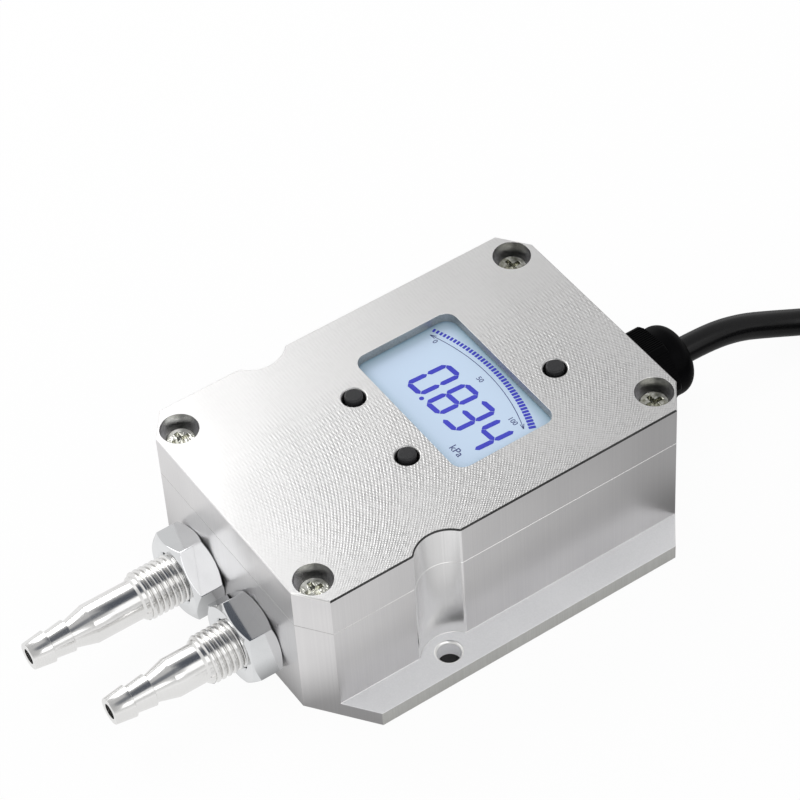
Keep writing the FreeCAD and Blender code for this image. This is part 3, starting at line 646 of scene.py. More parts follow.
class PatternBook:
    """The shared pattern groups, each built when it is first needed."""

    made: dict[SharedGroup, PatternGroup] = {}

    @classmethod
    def get(cls, wanted: SharedGroup) -> PatternGroup:
        """Return a shared group, and build it if it is new.

        Args:
            wanted: Which of the groups.

        Returns:
            The group.
        """
        if wanted not in cls.made:
            cls.made[wanted] = wanted.value.group()
        return cls.made[wanted]


# Finishes


# Shares of the arcs and of the slow tone in the darker tone of a milled face
GROOVE_SHARE = 0.74
TONE_SHARE = 0.2
# Ends of the ranges over which the noise goes from one tone or gloss to the other
GRAIN_ENDS = (0.35, 0.65)
LINE_ENDS = (0.2, 0.8)
GLOSS_ENDS = (0.3, 0.7)


@dataclass(frozen=True)
class Finish:
    """A surface finish: two tones that its grain mixes, its gloss and its fine pattern."""

    slot: str
    colour: Colour
    shade: Colour
    roughness: tuple[float, float]
    metallic: float = 0.0
    pattern: Pattern = Pattern.GRAIN
    grain_size: float = 0.5
    tone_size: float = 14.0
    bump: float = 0.01
    coat: float = 0.0
    coat_roughness: float = 0.1
    specular: float = 0.5
    directions: Point = (1.0, 1.0, 0.0)
    title: str = ""

    def shader(self, sheet: NodeSheet) -> bpy.types.Node:
        """Add the surface shader with the values that are the same all over.

        Args:
            sheet: The material's nodes.

        Returns:
            The shader node.
        """
        shader = sheet.add("BsdfPrincipled")
        shader.inputs["Metallic"].default_value = self.metallic
        shader.inputs["Coat Weight"].default_value = self.coat
        shader.inputs["Coat Roughness"].default_value = self.coat_roughness
        shader.inputs["Specular IOR Level"].default_value = self.specular
        output = sheet.add("OutputMaterial")
        sheet.wire(shader.outputs[0], output.inputs["Surface"])
        return shader

    def marks(self, sheet: NodeSheet, place: bpy.types.NodeSocket,
              grain: bpy.types.bpy_prop_collection) -> tuple[bpy.types.NodeSocket, bpy.types.NodeSocket]:
        """Lay out the fine pattern.

        Args:
            sheet: The material's nodes.
            place: Output with the object's coordinates.
            grain: Outputs of the placed grain group.

        Returns:
            The outputs with the share of the darker tone and with the height.
        """
        if self.pattern is Pattern.CUTTER_ARCS:
            arcs = PatternBook.get(SharedGroup.CUTTER).place(sheet, place)
            slow = sheet.maths("MULTIPLY", grain["Tone"], TONE_SHARE)
            return sheet.maths("MULTIPLY_ADD", arcs["Groove"], GROOVE_SHARE, slow), arcs["Height"]
        fine, ends = grain["Value"], GRAIN_ENDS
        if self.pattern is not Pattern.GRAIN:
            x, y, z = self.directions
            lines = PatternBook.get(SharedGroup.LINES)
            fine = lines.place(sheet, place, X=x, Y=y, Z=z, Size=self.grain_size)["Value"]
            ends = LINE_ENDS
        both = sheet.maths("MULTIPLY", sheet.maths("ADD", fine, grain["Tone"]), 0.5)
        return sheet.spread(both, 0.0, 1.0, *ends, Ramp.SMOOTH), fine

    def material(self) -> bpy.types.Material:
        """Build the finish as a material.

        Returns:
            The material, with its nodes.
        """
        made, sheet = blank_material(f"{self.slot}_{self.title or self.pattern.name.lower()}")
        shader = self.shader(sheet)
        place = sheet.add("TexCoord").outputs["Object"]
        grain = PatternBook.get(SharedGroup.GRAIN).place(
            sheet, place, Size=self.grain_size, **{"Tone Size": self.tone_size})
        share, height = self.marks(sheet, place, grain)
        sheet.wire(sheet.blend(share, self.colour, self.shade), shader.inputs["Base Color"])
        if self.pattern is Pattern.WALL_LINES:
            rough = sheet.spread(share, *self.roughness)
        else:
            rough = sheet.spread(grain["Tone"], *self.roughness, *GLOSS_ENDS, Ramp.SMOOTH)
        sheet.wire(rough, shader.inputs["Roughness"])
        bump = sheet.add("Bump")
        bump.inputs["Distance"].default_value = self.bump * MM
        sheet.wire(height, bump.inputs["Height"])
        sheet.wire(bump.outputs[0], shader.inputs["Normal"])
        return made


@dataclass(frozen=True)
class LitGlass(Finish):
    """Liquid crystal glass over a pale backlight, with painted shade towards the sides of the opening, where
    the light guide ends.

    The opening is given by its left, right, front and rear sides.
    """

    # Start, width and steepness of the painted shade, in from the opening's sides
    painted_shade_start: float = -0.8
    painted_shade_width: float = 3.0
    painted_shade_power: float = 1.6
    glow: Colour = (0.55, 0.7, 1.0)
    glow_strength: float = 0.06
    opening: Span = (-17.9, 17.2, -2.5, 19.8)

    def marks(self, sheet: NodeSheet, place: bpy.types.NodeSocket,
              grain: bpy.types.bpy_prop_collection) -> tuple[bpy.types.NodeSocket, bpy.types.NodeSocket]:
        """Paint shade on the glass by its distance from the sides of the opening.

        Args:
            sheet: The material's nodes.
            place: Output with the object's coordinates.
            grain: Outputs of the placed grain group.

        Returns:
            The outputs with the share of the painted shade and with the height.
        """
        parts = sheet.add("SeparateXYZ")
        sheet.wire(place, parts.inputs[0])
        left, right, front, rear = self.opening
        gaps = []
        for title, low, high in (("X", left, right), ("Y", front, rear)):
            value = sheet.maths("DIVIDE", parts.outputs[title], MM)
            gaps.append(sheet.maths("SUBTRACT", value, low))
            gaps.append(sheet.maths("SUBTRACT", high, value))
        nearest = gaps[0]
        for gap in gaps[1:]:
            nearest = sheet.maths("SMOOTH_MIN", nearest, gap, self.painted_shade_width)
        share = sheet.spread(nearest, 1.0, 0.0, self.painted_shade_start, self.painted_shade_width)
        share = sheet.maths("MINIMUM", sheet.maths("MAXIMUM", share, 0.0), 1.0)
        return sheet.maths("POWER", share, self.painted_shade_power), grain["Value"]

    def material(self) -> bpy.types.Material:
        """Build the glass, with a faint glow of its own.

        Returns:
            The material, with its nodes.
        """
        made = super().material()
        shader = next(n for n in made.node_tree.nodes if n.type == "BSDF_PRINCIPLED")
        shader.inputs["Emission Color"].default_value = (*self.glow, 1.0)
        shader.inputs["Emission Strength"].default_value = self.glow_strength
        return made


MILLED_TOP = Finish("housing_aluminium", (0.85, 0.845, 0.84), (0.5, 0.495, 0.49), (0.35, 0.4), 1.0,
                    Pattern.CUTTER_ARCS, bump=0.033, tone_size=18.0)
MILLED_SIDE = Finish("housing_aluminium", (0.78, 0.77, 0.77), (0.7, 0.69, 0.695), (0.295, 0.33), 1.0,
                     Pattern.WALL_LINES, grain_size=0.35, bump=0.002)
# Painted dark reflection: a near-black copy of the aluminium for the chamfer along the right side of the
# cover's top
MILLED_PAINTED_DARK_EDGE = Finish("housing_aluminium", (0.07, 0.07, 0.07), (0.045, 0.045, 0.045), (0.4, 0.5), 1.0,
                     grain_size=0.3, bump=0.004, title="edge")
MILLED_LEDGE = Finish("housing_aluminium", (0.93, 0.935, 0.95), (0.86, 0.865, 0.88), (0.42, 0.5), 0.0,
                      grain_size=0.3, bump=0.004, title="ledge")
MILLED_FOOT = Finish("housing_aluminium", (0.62, 0.62, 0.6), (0.5, 0.5, 0.48), (0.4, 0.5), 0.2,
                     Pattern.WALL_LINES, grain_size=0.3, bump=0.003, title="foot")
# Painted highlight: a lighter copy of the aluminium for thin chamfers that show as bright lines, on the
# opening's rim, the long side seams and the mounting holes
MILLED_PAINTED_HIGHLIGHT = Finish("housing_aluminium", (0.95, 0.945, 0.93), (0.92, 0.915, 0.9), (0.25, 0.32), 1.0,
                     grain_size=0.3, bump=0.002, title="line")
MILLED_RELIEF = Finish("housing_aluminium", (0.95, 0.945, 0.945), (0.84, 0.835, 0.835), (0.22, 0.26), 1.0,
                       Pattern.WALL_LINES, grain_size=0.35, bump=0.002, title="relief")
MILLED_BORE = Finish("housing_aluminium", (0.66, 0.66, 0.67), (0.46, 0.46, 0.47), (0.26, 0.34), 1.0,
                     grain_size=0.6, bump=0.008, title="bore")
MILLED_POCKET = Finish("housing_aluminium", (0.5, 0.495, 0.48), (0.36, 0.355, 0.345), (0.4, 0.5), 1.0,
                       grain_size=0.4, bump=0.01, title="pocket")
NICKEL = Finish("port_nickel", (0.86, 0.855, 0.845), (0.78, 0.775, 0.765), (0.16, 0.21), 1.0,
                Pattern.TURNED_LINES, grain_size=0.25, bump=0.0012, directions=(0.0, 1.0, 0.0))
ZINC = Finish("nut_steel", (0.78, 0.79, 0.8), (0.74, 0.75, 0.76), (0.05, 0.07), 1.0,
              grain_size=3.0, bump=0.0)
SCREW_PLATE = Finish("screw_steel", (0.84, 0.84, 0.79), (0.26, 0.26, 0.2), (0.06, 0.16), 1.0,
                     grain_size=0.8, bump=0.05)
TINNED = Finish("tinned_metal", (0.72, 0.71, 0.67), (0.6, 0.59, 0.55), (0.2, 0.32), 1.0, grain_size=0.4)
CAN = Finish("can_aluminium", (0.74, 0.74, 0.75), (0.64, 0.64, 0.65), (0.22, 0.3), 1.0, Pattern.TURNED_LINES,
             grain_size=0.3, bump=0.002, directions=(0.0, 0.0, 1.0))
GLAND_NYLON = Finish("gland_nylon", (0.003, 0.003, 0.0035), (0.002, 0.002, 0.0022), (0.3, 0.42),
                     grain_size=0.35, bump=0.006, specular=0.03)
KEY_PLASTIC = Finish("key_black", (0.028, 0.028, 0.03), (0.018, 0.018, 0.02), (0.42, 0.55),
                     grain_size=0.25, bump=0.006, specular=0.4)
FRAME_PLASTIC = Finish("frame_black", (0.035, 0.035, 0.036), (0.022, 0.022, 0.023), (0.45, 0.6),
                       grain_size=0.3)
CHIP_PLASTIC = Finish("chip_black", (0.045, 0.045, 0.047), (0.028, 0.028, 0.03), (0.5, 0.65), grain_size=0.2)
CABLE_JACKET = Finish("cable_black", (0.006, 0.006, 0.0065), (0.003, 0.003, 0.0035), (0.22, 0.3),
                      grain_size=0.6, bump=0.008, specular=0.32)
TIE_NYLON = Finish("tie_nylon", (0.03, 0.03, 0.031), (0.02, 0.02, 0.021), (0.4, 0.5), grain_size=0.3)
RED_CORE = Finish("core_red", (0.6, 0.03, 0.02), (0.46, 0.022, 0.016), (0.3, 0.4), grain_size=0.4)
BLACK_CORE = Finish("core_black", (0.02, 0.02, 0.02), (0.012, 0.012, 0.012), (0.3, 0.4), grain_size=0.4)
SEAL = Finish("seal_rubber", (0.022, 0.022, 0.022), (0.012, 0.012, 0.012), (0.6, 0.75), grain_size=0.2)
SILICONE = Finish("silicone", (0.8, 0.8, 0.78), (0.7, 0.7, 0.68), (0.4, 0.5), grain_size=0.6)
LIGHT_GUIDE = Finish("light_guide", (0.86, 0.88, 0.9), (0.78, 0.81, 0.85), (0.4, 0.5), grain_size=0.4)
BOARD = Finish("circuit_board", (0.02, 0.17, 0.075), (0.012, 0.11, 0.05), (0.25, 0.38),
               grain_size=0.7, coat=0.3)
SENSOR = Finish("sensor_white", (0.82, 0.8, 0.75), (0.74, 0.72, 0.66), (0.42, 0.55), grain_size=0.4)
TERMINAL = Finish("terminal_green", (0.04, 0.32, 0.13), (0.028, 0.24, 0.095), (0.35, 0.45), grain_size=0.4)
SEGMENT_INK = Finish("display_glass", (0.068, 0.075, 0.6), (0.055, 0.062, 0.54), (0.35, 0.45),
                     grain_size=0.6, bump=0.0, specular=0.2, title="segments")
SCALE_INK = Finish("display_glass", (0.05, 0.06, 0.22), (0.042, 0.05, 0.19), (0.35, 0.45),
                   grain_size=0.6, bump=0.0, specular=0.2, title="scale")
# Its second tone is the painted shade near the opening's sides
LIT_GLASS = LitGlass("display_glass", (0.57, 0.7, 0.86), (0.24, 0.41, 0.47), (0.08, 0.12),
                     grain_size=2.0, bump=0.0005, title="lit")


class FinishRack:
    """The materials of the finishes, each built once."""

    made: dict[Finish, bpy.types.Material] = {}

    @classmethod
    def get(cls, finish: Finish) -> bpy.types.Material:
        """Return the material of a finish, and build it if it is new.

        Args:
            finish: The finish.

        Returns:
            Its material.
        """
        if finish not in cls.made:
            cls.made[finish] = finish.material()
        return cls.made[finish]


def dress(piece: bpy.types.Object, finish: Finish) -> None:
    """Give a piece one finish all over."""
    piece.data.materials.clear()
    piece.data.materials.append(FinishRack.get(finish))


# Studio


@dataclass(frozen=True)
class Card:
    """A card that only polished surfaces see, as their dark or bright streaks.

    Distances are in metres. The fades are shares of the card's sides, at its low and high ends, along its
    width and its length.
    """

    name: str
    middle: Point
    width: float
    length: float
    colour: Colour
    fade: Span
    strength: float = 1.0

    def material(self) -> bpy.types.Material:
        """Build the card's paint, which fades out towards its sides.

        Returns:
            The material.
        """
        made, sheet = blank_material(self.name)
        parts = sheet.add("SeparateXYZ")
        sheet.wire(sheet.add("TexCoord").outputs["Object"], parts.inputs[0])
        covers = []
        for title, low, high in (("X", *self.fade[:2]), ("Y", *self.fade[2:])):
            rising = sheet.spread(parts.outputs[title], 0.0, 1.0, -0.5, low - 0.5)
            falling = sheet.spread(parts.outputs[title], 1.0, 0.0, 0.5 - high, 0.5)
            covers.append(sheet.maths("MULTIPLY", rising, falling))
        paint = sheet.add("Emission")
        paint.inputs["Color"].default_value = (*self.colour, 1.0)
        paint.inputs["Strength"].default_value = self.strength
        mix = sheet.mixed(sheet.maths("MULTIPLY", *covers), sheet.add("BsdfTransparent"), paint)
        sheet.wire(mix, sheet.add("OutputMaterial").inputs["Surface"])
        return made

    def build(self) -> None:
        """Hang the card in its place, hidden from all rays but those of gloss."""
        bpy.ops.mesh.primitive_plane_add(size=1.0, location=self.middle)
        card = bpy.context.object
        card.name = self.name
        card.scale = (self.width, self.length, 1.0)
        card.data.materials.append(self.material())
        card.visible_camera = False
        card.visible_diffuse = False
        card.visible_shadow = False
        card.visible_transmission = False


@dataclass(frozen=True)
class SoftLamp:
    """A square lamp that faces the part. Distances are in metres and its power is in watts."""

    name: str
    middle: Point
    side: float
    power: float

    def build(self) -> None:
        """Hang the lamp."""
        data = bpy.data.lights.new(self.name, "AREA")
        data.shape = "SQUARE"
        data.size = self.side
        data.energy = self.power
        lamp = bpy.data.objects.new(self.name, data)
        middle = Vector(self.middle)
        lamp.matrix_world = Matrix.Translation(middle) @ middle.to_track_quat("Z", "Y").to_matrix().to_4x4()
        bpy.context.scene.collection.objects.link(lamp)


@dataclass
class Studio:
    """Camera, floor, lamps and surroundings.

    Distances are in metres, the lens and the sensor in millimetres, and the angles in degrees. A pair of
    gloss values holds at the pair of ends that follows it.
    """

    lens: float = 146.247
    sensor: float = 36.0
    azimuth: float = 58.669
    elevation: float = 46.763
    roll: float = -4.108
    offset: Point = (-0.004728, 0.024099, 0.627732)
    white: Colour = (1.0, 1.0, 1.0)
    floor_paint: Colour = (0.9, 0.9, 0.9)
    floor_side: float = 8.0
    floor_glow: float = 0.95
    # Painted light on the floor as gloss sees it: bright at the ports' end, falling off towards the rear
    floor_painted_light: Ends = (0.92, 0.36)
    floor_painted_light_ends: Ends = (-0.05, 0.065)
    hole_place: tuple[float, float] = (0.0309, -0.0156)
    hole_radius: float = 0.00225
    hole_fade: float = 1.1
    sky_light: float = 0.74
    sky_gloss: Ends = (1.0, 0.54)
    sky_gloss_ends: Ends = (0.08, 0.5)
    contact_reach: float = 0.009
    contact_shade: float = 0.4
    foot: tuple[float, float] = (0.0355, 0.043)
    cards: tuple[Card, ...] = (
        Card("dark_card", (0.005, 0.06, 0.55), 0.57, 0.42, (0.07, 0.08, 0.1), (0.38, 0.1, 0.1, 0.1)),
        Card("taper_card", (0.14, -0.27, 0.55), 0.34, 0.32, (0.16, 0.17, 0.19), (0.35, 0.15, 0.2, 0.1)),
        Card("bright_card", (0.62, 0.2, 0.55), 0.66, 0.6, (1.0, 1.0, 1.0), (0.05, 0.1, 0.1, 0.1),
             strength=1.35),
        Card("rim_card", (-0.55, -0.72, 0.37), 0.62, 0.62, (1.0, 1.0, 1.0), (0.1, 0.1, 0.1, 0.1),
             strength=1.5),
    )
    lamps: tuple[SoftLamp, ...] = (
        SoftLamp("key_lamp", (-0.5, -0.06, 0.47), 0.42, 1.5),
        SoftLamp("fill_lamp", (0.675, -0.25, 0.54), 0.32, 0.4),
    )

    def camera_matrix(self) -> Matrix:
        """Work out the camera's place from its angles.

        Returns:
            The camera's matrix in the part's frame.
        """
        azimuth, elevation, roll = (math.radians(a) for a in (self.azimuth, self.elevation, self.roll))
        back = Vector((math.sin(azimuth) * math.cos(elevation), -math.cos(azimuth) * math.cos(elevation),
                       math.sin(elevation)))
        level = Vector((math.cos(azimuth), math.sin(azimuth), 0.0))
        upward = back.cross(level)
        right = math.cos(roll) * level + math.sin(roll) * upward
        up = math.cos(roll) * upward - math.sin(roll) * level
        turn = Matrix((right, up, back)).transposed()
        return Matrix.Translation(turn @ Vector(self.offset)) @ turn.to_4x4()

    def add_camera(self) -> None:
        """Add the camera and make it the scene's own."""
        data = bpy.data.cameras.new("camera")
        data.sensor_width = self.sensor
        data.lens = self.lens
        camera = bpy.data.objects.new("camera", data)
        camera.matrix_world = self.camera_matrix()
        bpy.context.scene.collection.objects.link(camera)
        bpy.context.scene.camera = camera

    def seen_strength(self, sheet: NodeSheet, gloss: bpy.types.NodeSocket) -> list[bpy.types.NodeSocket]:
        """Lay out how bright the background looks to each kind of ray.

        Args:
            sheet: The nodes of the material or world.
            gloss: Output with its strength for rays of gloss and through glass.

        Returns:
            An output that is 1 for rays that see the background, and one with its strength for them.
        """
        path = sheet.add("LightPath")
        camera = path.outputs["Is Camera Ray"]
        other = sheet.maths("MAXIMUM", path.outputs["Is Glossy Ray"], path.outputs["Is Transmission Ray"])
        white = sheet.maths("MULTIPLY", camera, sheet.maths("SUBTRACT", 1.0, gloss))
        return [sheet.maths("MAXIMUM", camera, other), sheet.maths("ADD", gloss, white)]

    def add_world(self) -> None:
        """Surround the scene with an even sky that looks white where it is seen."""
        world = bpy.data.worlds.new("sky")
        bpy.context.scene.world = world
        world.use_nodes = True
        world.node_tree.nodes.clear()
        sheet = NodeSheet(world.node_tree)
        parts = sheet.add("SeparateXYZ")
        sheet.wire(sheet.add("TexCoord").outputs["Generated"], parts.inputs[0])
        gloss = sheet.spread(parts.outputs["Z"], *self.sky_gloss, *self.sky_gloss_ends)
        share, strength = self.seen_strength(sheet, gloss)
        light = sheet.add("Background")
        light.inputs["Strength"].default_value = self.sky_light
        seen = sheet.add("Background")
        sheet.wire(strength, seen.inputs["Strength"])
        for node in (light, seen):
            node.inputs["Color"].default_value = (*self.white, 1.0)
        sheet.wire(sheet.mixed(share, light, seen), sheet.add("OutputWorld").inputs["Surface"])

    def hole_shade(self, sheet: NodeSheet, parts: bpy.types.Node) -> bpy.types.NodeSocket:
        """Keep the floor's glow out of the two mounting holes.

        Args:
            sheet: The floor's nodes.
            parts: Node with the parts of the floor's coordinates.

        Returns:
            An output that is near 0 under the holes and 1 elsewhere.
        """
        x, y = self.hole_place
        across = sheet.maths("SUBTRACT", sheet.maths("ABSOLUTE", parts.outputs["X"]), x)
        along = sheet.maths("SUBTRACT", parts.outputs["Y"], y)
        square = sheet.maths("ADD", sheet.maths("POWER", across, 2.0), sheet.maths("POWER", along, 2.0))
        edge = self.hole_radius * self.hole_fade
        return sheet.spread(sheet.maths("SQRT", square), 0.0, 1.0, self.hole_radius, edge)

    def contact(self, sheet: NodeSheet, parts: bpy.types.Node) -> bpy.types.NodeSocket:
        """Darken the floor's reflections close to the part, where it stands in its own shade.

        Args:
            sheet: The floor's nodes.
            parts: Node with the parts of the floor's coordinates.

        Returns:
            An output that rises to 1 with the distance from the housing's outline.
        """
        gaps = [sheet.maths("SUBTRACT", sheet.maths("ABSOLUTE", parts.outputs[title]), half)
                for title, half in zip("XY", self.foot)]
        gap = sheet.maths("MAXIMUM", *gaps)
        return sheet.spread(gap, self.contact_shade, 1.0, 0.0, self.contact_reach)

    def add_floor(self) -> None:
        """Lay the white floor, which keeps a faint shadow of the part."""
        bpy.ops.mesh.primitive_plane_add(size=self.floor_side)
        floor = bpy.context.object
        floor.name = "studio_floor"
        material, sheet = blank_material("studio_floor")
        parts = sheet.add("SeparateXYZ")
        sheet.wire(sheet.add("TexCoord").outputs["Object"], parts.inputs[0])
        # Painted falloff of light along the floor, seen only in reflections
        far = sheet.spread(parts.outputs["Y"], *self.floor_painted_light, *self.floor_painted_light_ends)
        gloss = sheet.maths("MULTIPLY", far, self.contact(sheet, parts))
        share, strength = self.seen_strength(sheet, gloss)
        paint = sheet.add("BsdfDiffuse")
        paint.inputs["Color"].default_value = (*self.floor_paint, 1.0)
        glow = sheet.add("Emission")
        glow.inputs["Color"].default_value = (*self.white, 1.0)
        sheet.wire(sheet.maths("MULTIPLY", strength, self.hole_shade(sheet, parts)), glow.inputs["Strength"])
        mix = sheet.mixed(sheet.maths("MULTIPLY", share, self.floor_glow), paint, glow)
        sheet.wire(mix, sheet.add("OutputMaterial").inputs["Surface"])
        floor.data.materials.append(material)

    def build(self) -> None:
        """Set up the whole studio."""
        bpy.context.scene.view_settings.view_transform = "Standard"
        self.add_camera()
        self.add_world()
        self.add_floor()
        for thing in (*self.cards, *self.lamps):
            thing.build()
        LOG.info("studio ready")


# Cable


COIL_PARTS: dict[str, Finish] = {
    "core_red": RED_CORE,
    "core_black": BLACK_CORE,
    "core_tips": TINNED,
    "coil_ties": TIE_NYLON,
}


@dataclass
class Cable:
    """The free cable: its lead from the gland, and the rest of it in a tied coil."""

    radius: float = 2.75
    mouth_y: float = 61.5
    mouth_z: float = 9.3
    first_run: float = 7.0
    lead: tuple[Point, ...] = (
        (0.5, 76.2, 8.0),
        (1.9, 83.4, 5.6),
        (4.3, 91.0, 3.6),
        (8.8, 100.5, 2.9),
        (15.1, 112.2, 3.2),
    )
    coil_x: float = 50.2
    coil_y: float = 107.0
    inner_turn: float = 27.5
    start_angle: float = 150.0
    tie_thickness: float = 1.1
    full_turns: int = 4
    top_sweep: float = 300.0
    points_per_turn: int = 24
    section_steps: int = 8
    run_steps: int = 6
    part_edge: float = 0.08
    length: float = 0.985
    shifts: tuple[tuple[float, float, float, float], ...] = field(init=False)

    def __post_init__(self) -> None:
        """Set where the winding passes from one turn to the next.

        Each shift is (sweep in degrees where it starts, its sweep, change of radius, change of height).
        """
        step = 2 * self.radius
        rise = self.radius * math.sqrt(3)
        self.shifts = (
            (316.0, 44.0, -step, 0.0),
            (360.0 + 312.0, 44.0, 0.0, step),
            (720.0 + 308.0, 44.0, step, 0.0),
            (1080.0 + 298.0, 34.0, 0.0, rise),
            (1080.0 + 314.0, 40.0, -step / 2, 0.0),
        )

    def winding(self, sweep: float) -> tuple[float, float]:
        """Find where the cable lies in the coil's section.

        Args:
            sweep: Degrees wound since the start of the coil.

        Returns:
            The radius and the height of the centreline.
        """
        radius = self.inner_turn + 2 * self.radius
        level = self.radius + self.tie_thickness
        for start, width, outward, upward in self.shifts:
            share = min(max((sweep - start) / width, 0.0), 1.0)
            smooth = share * share * (3 - 2 * share)
            radius += outward * smooth
            level += upward * smooth
        return radius, level

    def coil_points(self) -> list[Point]:
        """Wind the coil, turn by turn.

        Returns:
            The control points of the coil.
        """
        step = 360.0 / self.points_per_turn
        total = 360.0 * self.full_turns + self.top_sweep
        fuller = 1 / math.cos(math.radians(step / 2))
        points = []
        for k in range(int(total / step) + 1):
            radius, level = self.winding(k * step)
            angle = math.radians(self.start_angle - k * step)
            reach = radius * (fuller if k else 1.0)
            points.append((self.coil_x + reach * math.cos(angle),
                           self.coil_y + reach * math.sin(angle), level))
        return points

    def route(self) -> list[Point]:
        """List the control points of the whole run.

        Returns:
            The points from the gland to the end of the coil.
        """
        mouth = (0.0, self.mouth_y, self.mouth_z)
        ahead = (0.0, self.mouth_y + self.first_run, self.mouth_z)
        return [mouth, ahead, *self.lead, *self.coil_points()]

    def build(self) -> None:
        """Lay the cable as one smooth curve, and dress its ties and bare cores."""
        data = bpy.data.curves.new("cable", "CURVE")
        data.dimensions = "3D"
        data.bevel_depth = self.radius * MM
        data.bevel_resolution = self.section_steps
        data.resolution_u = self.run_steps
        data.use_fill_caps = True
        spline = data.splines.new("NURBS")
        points = self.route()
        spline.points.add(len(points) - 1)
        for spot, point in zip(spline.points, points):
            spot.co = (*(value * MM for value in point), 1.0)
        spline.order_u = 3
        spline.use_endpoint_u = True
        cable = bpy.data.objects.new("cable", data)
        bpy.context.scene.collection.objects.link(cable)
        dress(cable, CABLE_JACKET)
        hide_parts("cable_lead", "cable_coil")
        for node, finish in COIL_PARTS.items():
            piece = refined_copy(node, f"{node}_dressed", self.part_edge)
            dress(piece, finish)
            hand_in(piece, "root", finish.slot)
        hand_in(cable, "root", CABLE_JACKET.slot)


# Housing


@dataclass
class Housing:
    """The milled base and cover.

    A circle is given as (middle's x, middle's y, radius) and stands for its mirror image on the left too.
    The numbers for normals are limits of a part of a face's normal.
    """

    edges: dict[str, float] = field(default_factory=lambda: {"housing_base": 0.2, "housing_cover": 0.17})
    chamfer_steps: int = 1
    top: float = 32.5
    outer_reach: Point = (26.0, 41.0, 32.1)
    ledge: float = 3.5
    seam: float = 23.5
    seam_reach: float = 0.2
    side_reach: float = 38.0
    bore_floor: float = 26.0
    bore: Point = (22.7, 38.0, 3.95)
    relief: Point = (33.0, -15.6, 6.7)
    hole_rim: Point = (30.9, -15.6, 2.9)
    foot_x: float = 29.5
    opening_low: Point = (-18.0, -2.6, 30.3)
    opening_high: Point = (17.3, 19.9, 32.45)
    level_reach: float = 0.05
    level_normal: float = 0.999
    slope_normals: Ends = (0.15, 0.95)
    wall_normal: float = 0.15
    bore_normal: float = 0.3
    opening_normal: float = 0.5
    side_normal: float = 0.1
    right_normal: float = 0.25
    front_normal: float = -0.2

    def mark(self, piece: bpy.types.Object, finish: Finish, wanted: Callable[[Vector, Vector], bool]) -> None:
        """Give some faces of a shell another finish.

        Args:
            piece: The dressed shell.
            finish: The other finish.
            wanted: Says from a face's middle, in millimetres, and its normal whether it is meant.
        """
        piece.data.materials.append(FinishRack.get(finish))
        index = len(piece.data.materials) - 1
        for face in piece.data.polygons:
            if wanted(face.center / MM, face.normal):
                face.material_index = index

    @staticmethod
    def within(x: float, y: float, circle: Point) -> bool:
        """Say whether a place in plan lies in a circle."""
        return math.hypot(x - circle[0], y - circle[1]) < circle[2]

    def level_at(self, height: float) -> Callable[[Vector, Vector], bool]:
        """Return a test for the level faces at a height."""
        return lambda middle, normal: (normal.z > self.level_normal
                                       and abs(middle.z - height) < self.level_reach)

    def on_slope(self, normal: Vector) -> bool:
        """Say whether a face slopes, as those of chamfers and rounded edges do."""
        return self.slope_normals[0] < normal.z < self.slope_normals[1]

    def on_wall(self, normal: Vector) -> bool:
        """Say whether a face is upright or nearly so."""
        return abs(normal.z) < self.wall_normal

    def on_outer_edge(self, middle: Vector, normal: Vector) -> bool:
        """Say whether a face belongs to the chamfer round the cover's top, on its right side, where a dark
        reflection is painted.

        Args:
            middle: The face's middle.
            normal: Its normal.

        Returns:
            Whether it does.
        """
        x, y, z = self.outer_reach
        outside = abs(middle.x) > x or abs(middle.y) > y
        return middle.z > z and self.on_slope(normal) and outside and normal.x > self.right_normal

    def on_inner_rim(self, middle: Vector, normal: Vector) -> bool:
        """Say whether a face belongs to the rim of an opening in the cover's top and looks to the front,
        where a highlight is painted.

        Args:
            middle: The face's middle.
            normal: Its normal.

        Returns:
            Whether it does.
        """
        x, y, z = self.outer_reach
        inside = abs(middle.x) < x and abs(middle.y) < y
        return middle.z > z and self.on_slope(normal) and inside and normal.y < self.front_normal

    def in_screw_bore(self, middle: Vector, normal: Vector) -> bool:
        """Say whether a face belongs to the wall of a screw's counterbore."""
        between = self.bore_floor < middle.z < self.outer_reach[2] and abs(normal.z) < self.bore_normal
        return between and self.within(abs(middle.x), abs(middle.y), self.bore)

    def on_relief(self, middle: Vector, normal: Vector) -> bool:
        """Say whether a face belongs to the round relief over a mounting hole."""
        beside = middle.z > self.ledge and self.on_wall(normal)
        return beside and self.within(abs(middle.x), middle.y, self.relief)

    def on_seam(self, middle: Vector, normal: Vector) -> bool:
        """Say whether a face belongs to the broken edge of the base along the seam."""
        return abs(middle.z - self.seam) < self.seam_reach and self.on_slope(normal)

    def on_side_seam(self, middle: Vector, normal: Vector) -> bool:
        """Say whether a face belongs to the seam along one of the two long sides, where a highlight is
        painted.
        """
        along_side = abs(normal.x) > self.side_normal and abs(middle.y) < self.side_reach
        return along_side and self.on_seam(middle, normal)

    def near_hole(self, middle: Vector) -> bool:
        """Say whether a place lies in or close to a mounting hole."""
        return middle.z < self.ledge and self.within(abs(middle.x), middle.y, self.hole_rim)

    def on_hole_rim(self, middle: Vector, normal: Vector) -> bool:
        """Say whether a face belongs to the chamfer of a mounting hole, where a highlight is painted."""
        return self.near_hole(middle) and self.on_slope(normal)

    def on_hole_wall(self, middle: Vector, normal: Vector) -> bool:
        """Say whether a face belongs to the wall of a mounting hole."""
        return self.near_hole(middle) and self.on_wall(normal)

    def on_foot(self, middle: Vector, normal: Vector) -> bool:
        """Say whether a face belongs to the upright sides of the flanges."""
        return middle.z < self.ledge and self.on_wall(normal) and abs(middle.x) > self.foot_x

